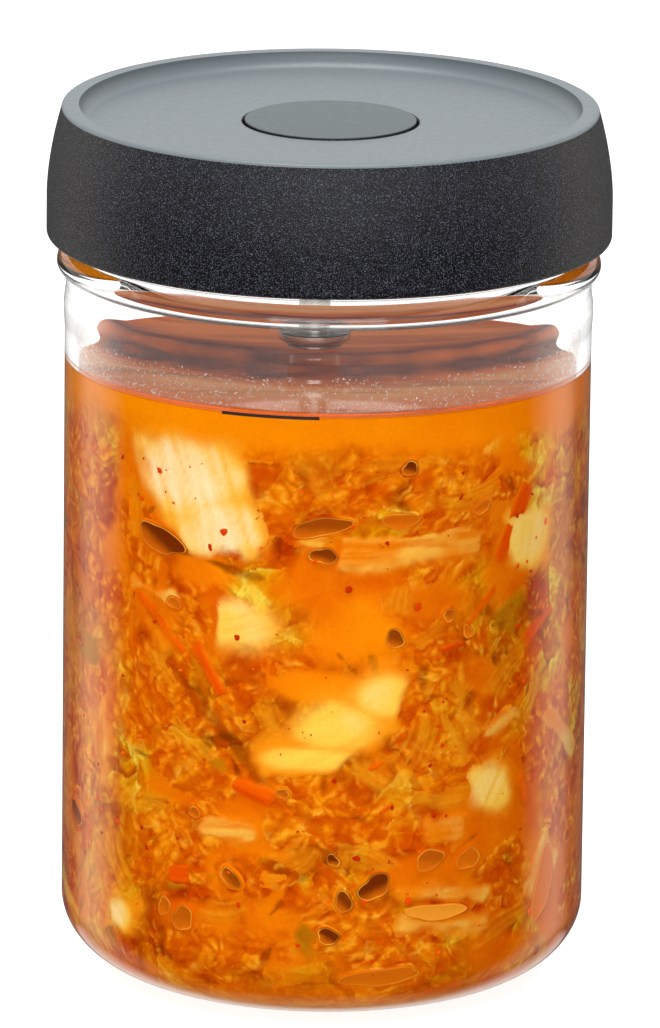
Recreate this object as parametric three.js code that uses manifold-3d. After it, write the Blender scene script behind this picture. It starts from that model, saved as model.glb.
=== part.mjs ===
// A fermentation jar: a clear glass jar of pickled cabbage, shut by a dark lid with a round button,
// and a steel vent that hangs from the lid above the brine.
// Millimetres, +Z up, the base on Z = 0 and the jar's axis on Z. The front faces -Y.
import * as THREE from "three";
import { mergeVertices } from "three/addons/utils/BufferGeometryUtils.js";
import Module from "manifold-3d";

const wasm = await Module();
wasm.setup();

// Sides of each round piece
const JAR_SIDES = 64;
const BUTTON_SIDES = 48;
const VENT_SIDES = 28;
const CORE_SIDES = 32;

// Glass jar, outside
const BODY_RADIUS = 55;
const HEEL_WIDTH = 19.8;
const HEEL_HEIGHT = 15.2;
const HEEL_STEPS = 8;
const BULGE_RADIUS = 55.25;
const BULGE_Z = 142.5;
const BODY_TOP_Z = 137;
const NECK_RADIUS = 54.8;
const NECK_Z = 147;
const RING_RADIUS = 56.7;
const RING_BOTTOM_Z = 150;
const RING_WIDEST_Z = 151.7;
const RING_TOP_Z = 155;
const RING_STEPS = 3;
const FINISH_RADIUS = 53.6;
const MOUTH_Z = 170;

// Glass jar, inside
const INNER_RADIUS = 52;
const INNER_HEEL_WIDTH = 17.5;
const INNER_HEEL_HEIGHT = 12.5;
const INNER_HEEL_STEPS = 7;
const FLOOR_Z = 2.6;
const MOUTH_RADIUS = 50.4;
const INNER_NECK_Z = 158.5;
const INNER_BODY_TOP_Z = 154.6;

// Lid
const LID_RADIUS = 58.9;
const LID_BOTTOM_Z = 157.2;
const LID_CORNER = 1.1;
const LID_STRAIGHT_Z = 166;
const LID_TOP_Z = 184.8;
const RIM_RADIUS = 55.9;
const RIM_EDGE = 0.7;
const RIM_WIDTH = 2.9;
const SIDE_POWER = 1.73;
const SIDE_STEPS = 6;
const RECESS_Z = 181.4;
const RECESS_FILLET = 2.6;
const RECESS_STEPS = 4;
const SKIRT_INNER_RADIUS = 54;
const PLUG_RADIUS = 49.9;
const PLUG_Z = 159;
const PLUG_CHAMFER = 0.9;
const GAP = 0.3;

// Round button in the lid
const POCKET_RADIUS = 18.35;
const POCKET_Z = 179.9;
const BUTTON_RADIUS = 17.85;
const BUTTON_Z = 181.85;
const BUTTON_EDGE = 0.35;

// Steel vent under the lid, a little left of its middle
const VENT_X = -2.8;
const VENT_NECK_RADIUS = 3.2;
const FLANGE_RADIUS = 7.5;
const FLANGE_TOP_Z = 137.9;
const FLANGE_EDGE_Z = 136.1;
const FLANGE_FOOT_RADIUS = 5.9;
const FLANGE_FOOT_Z = 134.5;
const GROOVE_RADIUS = 5.1;
const GROOVE_Z = 134.1;
const TIP_RADIUS = 5.6;
const TIP_TOP_Z = 133.8;
const TIP_Z = 132.5;
const TIP_CHAMFER = 0.3;

// Heap of cabbage: a core with the pieces that show pressed against the glass
const HEAP_GAP = 0.4;
const CORE_RADIUS = 45.5;
const CORE_TOP_Z = 125;
const CORE_EDGE = 8;
const CORE_STEPS = 3;
const PIECE_STEP = 9;
const HEAP_ROWS = 6;
const HEAP_COLUMNS = 9;
const ROW_RISE = 18.5;
const FIRST_ROW_Z = 20;
const CLEAR_OF_FRONT = 15;
const HEAP_SEED = 4217;

// How thick each kind of piece is, how far its face stands off the glass and how far its edge is bevelled
const KINDS = {
  stem: { thickness: 8, depth: 0.3, bevel: 2.2 },
  rib: { thickness: 7.5, depth: 0.3, bevel: 1.2 },
  leaf: { thickness: 6.5, depth: 1.4, bevel: 2.6 },
  carrot: { thickness: 7, depth: 0.7, bevel: 0.7 },
  green: { thickness: 6.5, depth: 0.9, bevel: 1.4 },
};

// The pieces that the photograph shows: kind, degrees round from the front, height, width, length and tilt
const FRONT_PIECES = [
  ["stem", -28, 112, 29, 27, -14],
  ["stem", -15, 86, 18, 13, 4],
  ["stem", 0, 69, 33, 22, 24],
  ["stem", 53, 101, 16, 15, 10],
  ["stem", 40, 49, 13, 12, 0],
  ["stem", -51, 22, 15, 14, -30],
  ["rib", 19, 103, 31, 8, -3],
  ["rib", 29, 28.5, 25, 5, 0],
  ["rib", 29, 21, 25, 5.5, 2],
  ["rib", 59, 29, 5, 21, -22],
  ["rib", -60, 54, 7, 25, 3],
  ["rib", -40, 92, 13, 5, -24],
  ["rib", -23, 42, 14, 7, -4],
  ["rib", 28, 42, 14, 7, -6],
  ["rib", 42, 63, 16, 6, 26],
  ["leaf", 10, 117, 26, 13, 4],
  ["leaf", 38, 117, 18, 10, 8],
  ["leaf", -36, 68, 24, 15, -40],
  ["leaf", 25, 68, 17, 22, -30],
  ["leaf", 2, 46, 22, 14, 6],
  ["leaf", -40, 40, 18, 13, 10],
  ["leaf", 8, 24, 17, 15, -8],
  ["leaf", -16, 20, 18, 11, 8],
  ["carrot", -40, 84, 18, 3.6, -42],
  ["carrot", 47, 105, 17, 4.6, 58],
  ["carrot", 37, 88, 14, 3.6, 42],
  ["carrot", -16, 51, 11, 4.6, -22],
  ["carrot", -34, 31, 7, 4.4, 4],
  ["green", 47, 87, 8, 11, -20],
  ["green", -4, 20.5, 8, 9, -30],
];

const FULL_TURN = Math.PI * 2;
const radians = (degrees) => (degrees * Math.PI) / 180;
const point = (radius, height) => new THREE.Vector2(radius, height);

// Points of an elliptical arc, without its first point
function arc(centreRadius, centreZ, width, height, fromDegrees, toDegrees, steps) {
  const points = [];
  for (let step = 1; step <= steps; step += 1) {
    const turn = radians(fromDegrees + ((toDegrees - fromDegrees) * step) / steps);
    points.push(point(centreRadius + width * Math.cos(turn), centreZ + height * Math.sin(turn)));
  }
  return points;
}

// A profile turned round the Z axis
function turned(profile, sides) {
  return new THREE.LatheGeometry(profile, sides).rotateX(Math.PI / 2);
}

function toSolid(geometry) {
  const bare = geometry.clone();
  bare.deleteAttribute("normal");
  bare.deleteAttribute("uv");
  const merged = mergeVertices(bare, 1e-3);
  return new wasm.Manifold(
    new wasm.Mesh({
      numProp: 3,
      vertProperties: new Float32Array(merged.attributes.position.array),
      triVerts: new Uint32Array(merged.index.array),
    }),
  );
}

function toGeometry(solid) {
  const mesh = solid.getMesh();
  const geometry = new THREE.BufferGeometry();
  geometry.setAttribute("position", new THREE.BufferAttribute(mesh.vertProperties, 3));
  geometry.setIndex(new THREE.BufferAttribute(mesh.triVerts, 1));
  geometry.computeVertexNormals();
  return geometry;
}

// The space inside the jar's body, as a profile from the floor's centre up to a level, held off the glass by a gap
function cavityProfile(gap, topZ) {
  const wall = INNER_RADIUS - gap;
  const floor = FLOOR_Z + gap;
  return [
    point(0, floor),
    point(wall - INNER_HEEL_WIDTH, floor),
    ...arc(
      wall - INNER_HEEL_WIDTH,
      floor + INNER_HEEL_HEIGHT,
      INNER_HEEL_WIDTH,
      INNER_HEEL_HEIGHT,
      -90,
      0,
      INNER_HEEL_STEPS,
    ),
    point(wall, topZ),
  ];
}

function jarProfile() {
  const ringUnder = RING_WIDEST_Z - RING_BOTTOM_Z;
  const ringOver = RING_TOP_Z - RING_WIDEST_Z;
  const lipMiddle = (FINISH_RADIUS + MOUTH_RADIUS) / 2;
  const lipHalf = (FINISH_RADIUS - MOUTH_RADIUS) / 2;
  const outside = [
    point(0, 0),
    point(BODY_RADIUS - HEEL_WIDTH, 0),
    ...arc(BODY_RADIUS - HEEL_WIDTH, HEEL_HEIGHT, HEEL_WIDTH, HEEL_HEIGHT, -90, 0, HEEL_STEPS),
    point(BODY_RADIUS, BODY_TOP_Z),
    point(BULGE_RADIUS, BULGE_Z),
    point(NECK_RADIUS, NECK_Z),
    point(NECK_RADIUS, RING_BOTTOM_Z),
    ...arc(NECK_RADIUS, RING_WIDEST_Z, RING_RADIUS - NECK_RADIUS, ringUnder, -90, 0, RING_STEPS),
    ...arc(FINISH_RADIUS, RING_WIDEST_Z, RING_RADIUS - FINISH_RADIUS, ringOver, 0, 90, RING_STEPS),
    point(FINISH_RADIUS, MOUTH_Z - lipHalf),
  ];
  const lip = arc(lipMiddle, MOUTH_Z - lipHalf, lipHalf, lipHalf, 0, 180, 4);
  const inside = [point(MOUTH_RADIUS, INNER_NECK_Z), ...cavityProfile(0, INNER_BODY_TOP_Z).reverse()];
  return [...outside, ...lip, ...inside];
}

function lidProfile() {
  const rimInner = RIM_RADIUS - RIM_EDGE - RIM_WIDTH;
  const recessRadius = rimInner - RECESS_FILLET;
  const side = [];
  for (let step = 0; step <= SIDE_STEPS; step += 1) {
    const share = step / SIDE_STEPS;
    const z = LID_STRAIGHT_Z + share * (LID_TOP_Z - RIM_EDGE - LID_STRAIGHT_Z);
    side.push(point(LID_RADIUS - (LID_RADIUS - RIM_RADIUS) * share ** SIDE_POWER, z));
  }
  return [
    point(0, PLUG_Z),
    point(PLUG_RADIUS - PLUG_CHAMFER, PLUG_Z),
    point(PLUG_RADIUS, PLUG_Z + PLUG_CHAMFER),
    point(PLUG_RADIUS, MOUTH_Z + GAP),
    point(SKIRT_INNER_RADIUS, MOUTH_Z + GAP),
    point(SKIRT_INNER_RADIUS, LID_BOTTOM_Z),
    point(LID_RADIUS - LID_CORNER, LID_BOTTOM_Z),
    ...arc(LID_RADIUS - LID_CORNER, LID_BOTTOM_Z + LID_CORNER, LID_CORNER, LID_CORNER, -90, 0, 3),
    ...side,
    ...arc(RIM_RADIUS - RIM_EDGE, LID_TOP_Z - RIM_EDGE, RIM_EDGE, RIM_EDGE, 0, 90, 2),
    point(rimInner, LID_TOP_Z),
    ...arc(recessRadius, LID_TOP_Z, RECESS_FILLET, LID_TOP_Z - RECESS_Z, 0, -90, RECESS_STEPS),
    point(POCKET_RADIUS, RECESS_Z),
    point(POCKET_RADIUS, POCKET_Z),
    point(0, POCKET_Z),
  ];
}

function buttonProfile() {
  return [
    point(0, POCKET_Z + GAP),
    point(BUTTON_RADIUS, POCKET_Z + GAP),
    point(BUTTON_RADIUS, BUTTON_Z - BUTTON_EDGE),
    ...arc(BUTTON_RADIUS - BUTTON_EDGE, BUTTON_Z - BUTTON_EDGE, BUTTON_EDGE, BUTTON_EDGE, 0, 90, 2),
    point(0, BUTTON_Z),
  ];
}

function ventProfile() {
  return [
    point(0, TIP_Z),
    point(TIP_RADIUS - TIP_CHAMFER, TIP_Z),
    point(TIP_RADIUS, TIP_Z + TIP_CHAMFER),
    point(TIP_RADIUS, TIP_TOP_Z),
    point(GROOVE_RADIUS, GROOVE_Z),
    point(FLANGE_FOOT_RADIUS, FLANGE_FOOT_Z),
    point(FLANGE_RADIUS, FLANGE_EDGE_Z),
    point(FLANGE_RADIUS, FLANGE_TOP_Z),
    point(VENT_NECK_RADIUS, FLANGE_TOP_Z + GAP),
    point(VENT_NECK_RADIUS, PLUG_Z - GAP),
    point(0, PLUG_Z - GAP),
  ];
}

// A repeatable stream of numbers from 0 to 1
function drawsFrom(seed) {
  let state = seed;
  return () => {
    state = (state * 48271) % 2147483647;
    return state / 2147483647;
  };
}

// A block bent to lie against the glass, its outer face bevelled
function wallPiece([kind, angle, height, width, length, tilt]) {
  const { thickness, depth, bevel } = KINDS[kind];
  const wall = INNER_RADIUS - HEAP_GAP;
  const block = new THREE.BoxGeometry(
    width,
    thickness,
    length,
    Math.ceil(width / PIECE_STEP),
    1,
    Math.ceil(length / PIECE_STEP),
  );
  const spots = block.attributes.position;
  const turn = radians(tilt);
  for (let index = 0; index < spots.count; index += 1) {
    const inward = spots.getY(index) + thickness / 2;
    const onFace = inward < thickness / 2;
    const across = spots.getX(index) * (onFace ? 1 - (2 * bevel) / Math.max(width, 3 * bevel) : 1);
    const along = spots.getZ(index) * (onFace ? 1 - (2 * bevel) / Math.max(length, 3 * bevel) : 1);
    const round = across * Math.cos(turn) - along * Math.sin(turn);
    const rise = across * Math.sin(turn) + along * Math.cos(turn);
    const bearing = radians(angle) + round / wall;
    const radius = wall - depth - inward;
    spots.setXYZ(index, radius * Math.sin(bearing), -radius * Math.cos(bearing), height + rise);
  }
  return toSolid(block);
}

// Rows of pieces round the rest of the jar, where the front pieces leave room
function restOfPieces() {
  const draw = drawsFrom(HEAP_SEED);
  const names = ["stem", "leaf", "rib", "leaf", "carrot", "leaf", "stem", "green"];
  const wall = INNER_RADIUS - HEAP_GAP;
  const rows = [];
  for (let row = 0; row < HEAP_ROWS; row += 1) {
    for (let column = 0; column < HEAP_COLUMNS; column += 1) {
      const kind = names[Math.floor(draw() * names.length)];
      const slim = kind === "rib" || kind === "carrot";
      const angle = ((column + 0.5 * (row % 2) + 0.4 * draw()) * 360) / HEAP_COLUMNS - 180;
      const height = FIRST_ROW_Z + ROW_RISE * row + 5 * (draw() - 0.5);
      const width = slim ? 18 + 10 * draw() : 17 + 9 * draw();
      const length = slim ? 4 + 3 * draw() : 11 + 6 * draw();
      const tilt = slim ? 100 * (draw() - 0.5) : 60 * (draw() - 0.5);
      const free = FRONT_PIECES.every(([, otherAngle, otherHeight]) => {
        const apart = radians(angle - otherAngle) * wall;
        return Math.hypot(apart, height - otherHeight) > CLEAR_OF_FRONT;
      });
      if (free) {
        rows.push([kind, angle, height, width, length, tilt]);
      }
    }
  }
  return rows;
}

function heap() {
  const wall = CORE_RADIUS;
  const core = [
    ...cavityProfile(INNER_RADIUS - wall, CORE_TOP_Z - CORE_EDGE),
    ...arc(wall - CORE_EDGE, CORE_TOP_Z - CORE_EDGE, CORE_EDGE, CORE_EDGE, 0, 90, CORE_STEPS),
    point(0, CORE_TOP_Z),
  ];
  core[0].y = FLOOR_Z + HEAP_GAP;
  core[1].y = FLOOR_Z + HEAP_GAP;
  let solid = toSolid(turned(core, CORE_SIDES));
  for (const row of [...FRONT_PIECES, ...restOfPieces()]) {
    solid = solid.add(wallPiece(row));
  }
  const room = [...cavityProfile(HEAP_GAP, TIP_Z), point(0, TIP_Z)];
  return toGeometry(solid.intersect(toSolid(turned(room, JAR_SIDES))));
}

const part = new THREE.Group();

function addPiece(name, geometry, colour, roughness, metalness) {
  const material = new THREE.MeshStandardMaterial({ color: colour, roughness, metalness });
  const mesh = new THREE.Mesh(geometry, material);
  mesh.name = name;
  part.add(mesh);
}

addPiece("glass_jar", turned(jarProfile(), JAR_SIDES), 0xe6eeec, 0.05, 0);
addPiece("lid", turned(lidProfile(), JAR_SIDES), 0x2e2f34, 0.6, 0);
addPiece("lid_button", turned(buttonProfile(), BUTTON_SIDES), 0x566063, 0.7, 0);
addPiece("steel_vent", turned(ventProfile(), VENT_SIDES).translate(VENT_X, 0, 0), 0xb8b8b4, 0.3, 1);
addPiece("cabbage_heap", heap(), 0xf0921e, 0.6, 0);

export default part;
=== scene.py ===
"""Looks of the fermentation jar: clear glass, a dark lid, and pickled cabbage in orange brine.

Sizes are in millimetres in the part's own frame, and become metres where a mesh is made.
The front faces -Y. A bearing is the angle round the jar from the front towards +X.
"""

import math

import bpy
import numpy as np
from mathutils import Matrix, Vector


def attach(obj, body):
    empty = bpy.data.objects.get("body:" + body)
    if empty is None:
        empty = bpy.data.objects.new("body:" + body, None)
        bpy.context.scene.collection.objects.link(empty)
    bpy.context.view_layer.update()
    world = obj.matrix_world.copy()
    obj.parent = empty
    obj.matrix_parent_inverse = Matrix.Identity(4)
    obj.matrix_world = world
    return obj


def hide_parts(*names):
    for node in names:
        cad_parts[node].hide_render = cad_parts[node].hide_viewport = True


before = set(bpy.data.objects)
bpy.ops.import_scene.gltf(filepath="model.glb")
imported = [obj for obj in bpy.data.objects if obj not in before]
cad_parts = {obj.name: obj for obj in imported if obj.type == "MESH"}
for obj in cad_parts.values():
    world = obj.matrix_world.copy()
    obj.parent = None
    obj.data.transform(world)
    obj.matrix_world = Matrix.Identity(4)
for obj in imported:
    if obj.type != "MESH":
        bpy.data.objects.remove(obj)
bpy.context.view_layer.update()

MM = 0.001

# Glass jar
BODY_RADIUS = 55.0
HEEL_WIDTH = 19.8
HEEL_HEIGHT = 15.2
BODY_TOP_Z = 137.0
BULGE_RADIUS = 55.25
BULGE_Z = 142.5
NECK_RADIUS = 54.8
NECK_Z = 147.0
RING_RADIUS = 56.7
RING_BOTTOM_Z = 150.0
RING_WIDEST_Z = 151.7
RING_TOP_Z = 155.0
RING_SLOPE_INSET = 1.5
RING_SLOPE_RISE = 0.3
RING_SLOPE_DEGREES = 68
FINISH_RADIUS = 53.6
MOUTH_Z = 170.0
INNER_RADIUS = 52.0
INNER_HEEL_WIDTH = 17.5
INNER_HEEL_HEIGHT = 12.5
FLOOR_Z = 2.6
MOUTH_RADIUS = 50.4
INNER_NECK_Z = 158.5
INNER_BODY_TOP_Z = 154.6
FILL_LINE_DEGREES = (-23.0, -1.6)
FILL_LINE_Z = 131.6
FILL_LINE_HALF_HEIGHT = 0.33
PRINT_STAND = 0.02
PRINT_THICKNESS = 0.04

# Lid, button and vent
LID_RADIUS = 58.9
LID_BOTTOM_Z = 157.2
LID_CORNER = 1.1
LID_STRAIGHT_Z = 166.0
LID_TOP_Z = 184.8
RIM_RADIUS = 55.9
RIM_EDGE = 0.7
RIM_WIDTH = 2.9
SIDE_POWER = 1.73
RECESS_Z = 181.4
RECESS_FILLET = 2.6
SKIRT_INNER_RADIUS = 54.0
PLUG_RADIUS = 49.9
PLUG_Z = 159.0
PLUG_CHAMFER = 0.9
GAP = 0.3
POCKET_RADIUS = 18.35
POCKET_Z = 179.9
POCKET_EDGE = 0.25
BUTTON_RADIUS = 17.85
BUTTON_Z = 181.85
BUTTON_EDGE = 0.22
VENT_X = -2.8
VENT_NECK_RADIUS = 3.2
FLANGE_RADIUS = 7.5
FLANGE_TOP_Z = 137.9
FLANGE_CHAMFER = 0.3
FLANGE_EDGE_Z = 136.1
FLANGE_FOOT_RADIUS = 5.9
FLANGE_FOOT_Z = 134.5
GROOVE_RADIUS = 5.1
GROOVE_Z = 134.1
TIP_RADIUS = 5.6
TIP_TOP_Z = 133.8
TIP_Z = 132.5
TIP_CHAMFER = 0.3

# Brine and contents
BRINE_Z = 131.2
MENISCUS_RISE = 0.9
MENISCUS_WIDTH = 0.9
BRINE_TOP_RINGS = (0.15, 0.4, 0.7, 1.1, 1.6, 2.3, 3.5, 6.0, 12.0, 22.0, 36.0)
INTO_WALL = 0.12
CONTENT_TOP_Z = 129.5
CONTENT_BOTTOM_Z = FLOOR_Z + 0.3
CORE_TOP_Z = BRINE_Z - 0.25
LEAST_DEPTH = 0.1
LAID_ABOVE = 0.05
FAINTEST_MASK = 0.015
# How the painted reflection bands on the brine's top curve
MIRRORED_BAND_BEND = 0.0123

ROUND_SIDES = 224
BUTTON_SIDES = 160
VENT_SIDES = 96


# Repeatable noise

LATTICE_PRIMES = (73856093, 19349663, 83492791)


def lattice(ix, iy, iz, seed):
    """A repeatable number from -1 to 1 for each whole-number point."""
    mixed = 0
    for number, prime in zip((ix, iy, iz), LATTICE_PRIMES):
        mixed = mixed ^ number.astype(np.int64) * prime
    mixed = (mixed + seed * 7919) & 0xFFFFFFFF
    mixed = ((mixed ^ (mixed >> 15)) * 2246822519) & 0xFFFFFFFF
    mixed = ((mixed ^ (mixed >> 13)) * 3266489917) & 0xFFFFFFFF
    mixed = mixed ^ (mixed >> 16)
    return (mixed & 0xFFFFFF) / 0x7FFFFF - 1.0


def noise(points, size, seed):
    """Smooth noise from -1 to 1 at points whose features are about that size."""
    spot = np.asarray(points) / size
    cell = np.floor(spot)
    part = spot - cell
    ease = part * part * part * (part * (part * 6 - 15) + 10)
    total = 0.0
    for dx in (0, 1):
        weight_x = ease[..., 0] if dx else 1 - ease[..., 0]
        for dy in (0, 1):
            weight_y = ease[..., 1] if dy else 1 - ease[..., 1]
            for dz in (0, 1):
                weight_z = ease[..., 2] if dz else 1 - ease[..., 2]
                corner = lattice(cell[..., 0] + dx, cell[..., 1] + dy, cell[..., 2] + dz, seed)
                total = total + corner * weight_x * weight_y * weight_z
    return total


def layered(points, size, seed, layers=4, keep=0.5):
    """Several layers of noise, each half the size of the last."""
    total = 0.0
    strength = 1.0
    for layer in range(layers):
        total = total + strength * noise(points, size / 2 ** layer, seed + 31 * layer)
        strength *= keep
    return total


def creases(points, size, seed, layers=3):
    """Noise with sharp crests, from 0 in the hollows to 1 on a crest."""
    total = 0.0
    strength = 1.0
    whole = 0.0
    for layer in range(layers):
        total = total + strength * (1 - np.abs(noise(points, size / 2 ** layer, seed + 57 * layer))) ** 2.5
        whole += strength
        strength *= 0.55
    return total / whole


def folds(across, along, size, seed, wrap=0.0):
    """Overlapping folds of about that size.

    For each point: how its fold leans, the fold's own number, how far its edge is, and where the point lies
    from the fold's middle. Where wrap is given, the folds meet again after that distance across.
    """
    columns = max(1, round(wrap / size)) if wrap else 0
    width = wrap / columns if wrap else size
    spot_x = across / width
    spot_y = along / size
    cell_x = np.floor(spot_x)
    cell_y = np.floor(spot_y)
    nearest = np.full(np.shape(across), 9.0)
    second = nearest.copy()
    own = np.zeros(np.shape(across))
    lean = np.zeros(np.shape(across))
    middle_x = np.zeros(np.shape(across))
    middle_y = np.zeros(np.shape(across))
    for step_x in (-1, 0, 1):
        for step_y in (-1, 0, 1):
            column = cell_x + step_x
            row = cell_y + step_y
            key = np.mod(column, columns) if columns else column
            draws = [lattice(key, row, 0 * row + number, seed) for number in range(5)]
            away_x = column + 0.5 + 0.45 * draws[0] - spot_x
            away_y = row + 0.5 + 0.45 * draws[1] - spot_y
            reach = np.hypot(away_x, away_y) + 0.22 * draws[2]
            closer = reach < nearest
            second = np.where(closer, nearest, np.minimum(second, reach))
            own = np.where(closer, draws[2], own)
            lean = np.where(closer, away_x * draws[3] + away_y * draws[4], lean)
            middle_x = np.where(closer, -away_x * width, middle_x)
            middle_y = np.where(closer, -away_y * size, middle_y)
            nearest = np.where(closer, reach, nearest)
    return lean, own, second - nearest, middle_x, middle_y


def ramp(value, low, high):
    """0 below low, 1 above high and an eased rise between them."""
    share = np.clip((value - low) / (high - low), 0, 1)
    return share * share * (3 - 2 * share)


def blend(first, second, share):
    """A mix of two colours by a share for each point."""
    share = np.asarray(share)[..., None]
    return np.asarray(first) * (1 - share) + np.asarray(second) * share


def painted(tone, leafy):
    """A tone with its leafiness as a fourth number."""
    return np.concatenate([tone, leafy[..., None]], axis=-1)


def warp(spots, seed, layers):
    """A shift made of layers of noise, each with its (reach, size)."""
    return sum(reach * noise(spots, size, seed + step) for step, (reach, size) in enumerate(layers))


# Mesh making

def grid_faces(rows, columns, closed=False):
    """Faces of a grid of points kept row by row; closed joins the last column to the first."""
    across = np.arange(columns if closed else columns - 1)
    column, row = np.meshgrid(across, np.arange(rows - 1))
    first = row * columns + column
    second = row * columns + (column + 1) % columns
    return np.stack([first, second, second + columns, first + columns], axis=-1).reshape(-1, 4)


class Batch:
    """Points, faces and colours of many like pieces, joined into one mesh."""

    def __init__(self):
        self.points = []
        self.faces = []
        self.tones = []
        self.count = 0

    def add(self, points, faces, tones):
        points = np.asarray(points).reshape(-1, 3)
        self.points.append(points)
        self.faces.append(np.asarray(faces) + self.count)
        self.tones.append(np.asarray(tones).reshape(-1, 4))
        self.count += len(points)

    def make(self, name, material):
        faces = []
        for block in self.faces:
            faces.extend(block.tolist())
        return make_piece(name, np.concatenate(self.points), faces, [material],
                          tones=np.concatenate(self.tones))


def make_piece(name, points, faces, materials, tones=None, face_slots=None, sharp=None):
    """A smooth-shaded mesh piece on the part's one body, from points in millimetres."""
    mesh = bpy.data.meshes.new(name)
    mesh.from_pydata((np.asarray(points) * MM).tolist(), [], faces)
    for material in materials:
        mesh.materials.append(material)
    if face_slots is not None:
        mesh.polygons.foreach_set("material_index", np.asarray(face_slots, np.int32))
    mesh.shade_smooth()
    if sharp is not None:
        mesh.set_sharp_from_angle(angle=math.radians(sharp))
    if tones is not None:
        layer = mesh.color_attributes.new("tone", "FLOAT_COLOR", "POINT")
        layer.data.foreach_set("color", np.clip(tones, 0, 1).astype(np.float32).ravel())
    mesh.update()
    piece = bpy.data.objects.new(name, mesh)
    bpy.context.scene.collection.objects.link(piece)
    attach(piece, "root")
    return piece


def round_steps(sides):
    """Even steps round a circle, in radians."""
    return np.arange(sides) * 2 * math.pi / sides


def round_axis(radius, bearing, height):
    """Points at a distance from the axis, at a bearing and a height."""
    return np.stack([radius * np.sin(bearing), -radius * np.cos(bearing), height], axis=-1)


def turned(profile, sides=ROUND_SIDES):
    """A profile of (radius, height) turned round the axis: points, faces and each face's step along it."""
    points = []
    starts = []
    for radius, height in profile:
        starts.append(len(points))
        if radius < 1e-6:
            points.append((0.0, 0.0, height))
        else:
            for turn in round_steps(sides):
                points.append((radius * math.sin(turn), -radius * math.cos(turn), height))
    faces = []
    steps = []
    for step in range(len(profile) - 1):
        low, high = starts[step], starts[step + 1]
        low_pole = profile[step][0] < 1e-6
        high_pole = profile[step + 1][0] < 1e-6
        for side in range(sides):
            following = (side + 1) % sides
            if low_pole and high_pole:
                continue
            if low_pole:
                faces.append((low, high + following, high + side))
            elif high_pole:
                faces.append((low + side, low + following, high))
            else:
                faces.append((low + side, low + following, high + following, high + side))
            steps.append(step)
    return np.array(points), faces, np.array(steps)


def make_turned(name, profile, materials, second, sharp=40, sides=ROUND_SIDES, shift=0.0):
    """A turned piece; its second material covers the profile's steps from one number up to another."""
    points, faces, steps = turned(profile, sides)
    points[:, 0] += shift
    second_from, second_to = second
    face_slots = ((steps >= second_from) & (steps < second_to)).astype(int)
    return make_piece(name, points, faces, materials, face_slots=face_slots, sharp=sharp)


def arc(centre_radius, centre_z, width, height, from_degrees, to_degrees, steps):
    """Points of an elliptical arc, without its first point."""
    points = []
    for step in range(1, steps + 1):
        turn = math.radians(from_degrees + (to_degrees - from_degrees) * step / steps)
        points.append((centre_radius + width * math.cos(turn), centre_z + height * math.sin(turn)))
    return points


def eased_rise(first, last, steps):
    """Points of a soft S from one (radius, height) to another, without its first point."""
    points = []
    for step in range(1, steps + 1):
        share = step / steps
        ease = share * share * (3 - 2 * share)
        points.append((first[0] + (last[0] - first[0]) * ease, first[1] + (last[1] - first[1]) * share))
    return points


# Materials

RANGE_SOCKETS = ("From Min", "From Max", "To Min", "To Max")
WHITE = (1.0, 1.0, 1.0)
CLEAR = {"Transmission_Weight": 1.0, "Roughness": 0.0}
# Painted shade and painted highlight for the fine crinkles of leafy food
CRINKLE_SHADE = (0.43, 0.037, 0.001)
CRINKLE_HIGHLIGHT = (0.94, 0.5, 0.03)


class Nodes:
    """Short ways to add nodes to the tree of a material or of the world."""

    def __init__(self, tree):
        self.tree = tree

    def node(self, kind, **settings):
        made = self.tree.nodes.new(kind)
        for name, value in settings.items():
            setattr(made, name, value)
        return made

    def feed(self, socket, value):
        """Link a node's result to a socket, or give the socket a fixed value."""
        if isinstance(value, bpy.types.NodeSocket):
            self.tree.links.new(value, socket)
        else:
            socket.default_value = value

    def worked(self, operation, *values, kind="ShaderNodeMath"):
        """The result of a sum on numbers, or on what another kind of node takes."""
        made = self.node(kind, operation=operation)
        for socket, value in zip(made.inputs, values):
            self.feed(socket, value)
        return made.outputs[0]

    def moved(self, operation, *vectors):
        """The result of a sum on vectors."""
        return self.worked(operation, *vectors, kind="ShaderNodeVectorMath")

    def split(self, vector):
        """The X, Y and Z of a vector."""
        made = self.node("ShaderNodeSeparateXYZ")
        self.feed(made.inputs["Vector"], vector)
        return made.outputs

    def range(self, value, low, high, new_low=0.0, new_high=1.0, ease="LINEAR"):
        """A value moved from one range to another and held at its ends."""
        made = self.node("ShaderNodeMapRange", interpolation_type=ease)
        for socket, number in zip(RANGE_SOCKETS, (low, high, new_low, new_high)):
            made.inputs[socket].default_value = number
        self.feed(made.inputs["Value"], value)
        return made.outputs["Result"]

    def mixed(self, share, first, second, data_type="RGBA", blend_type="MIX"):
        """A mix from the first to the second by a share."""
        made = self.node("ShaderNodeMix", data_type=data_type, blend_type=blend_type)
        for socket, value in (("Factor", share), ("A", first), ("B", second)):
            self.feed(made.inputs[socket], value)
        return made.outputs["Result"]


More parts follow.
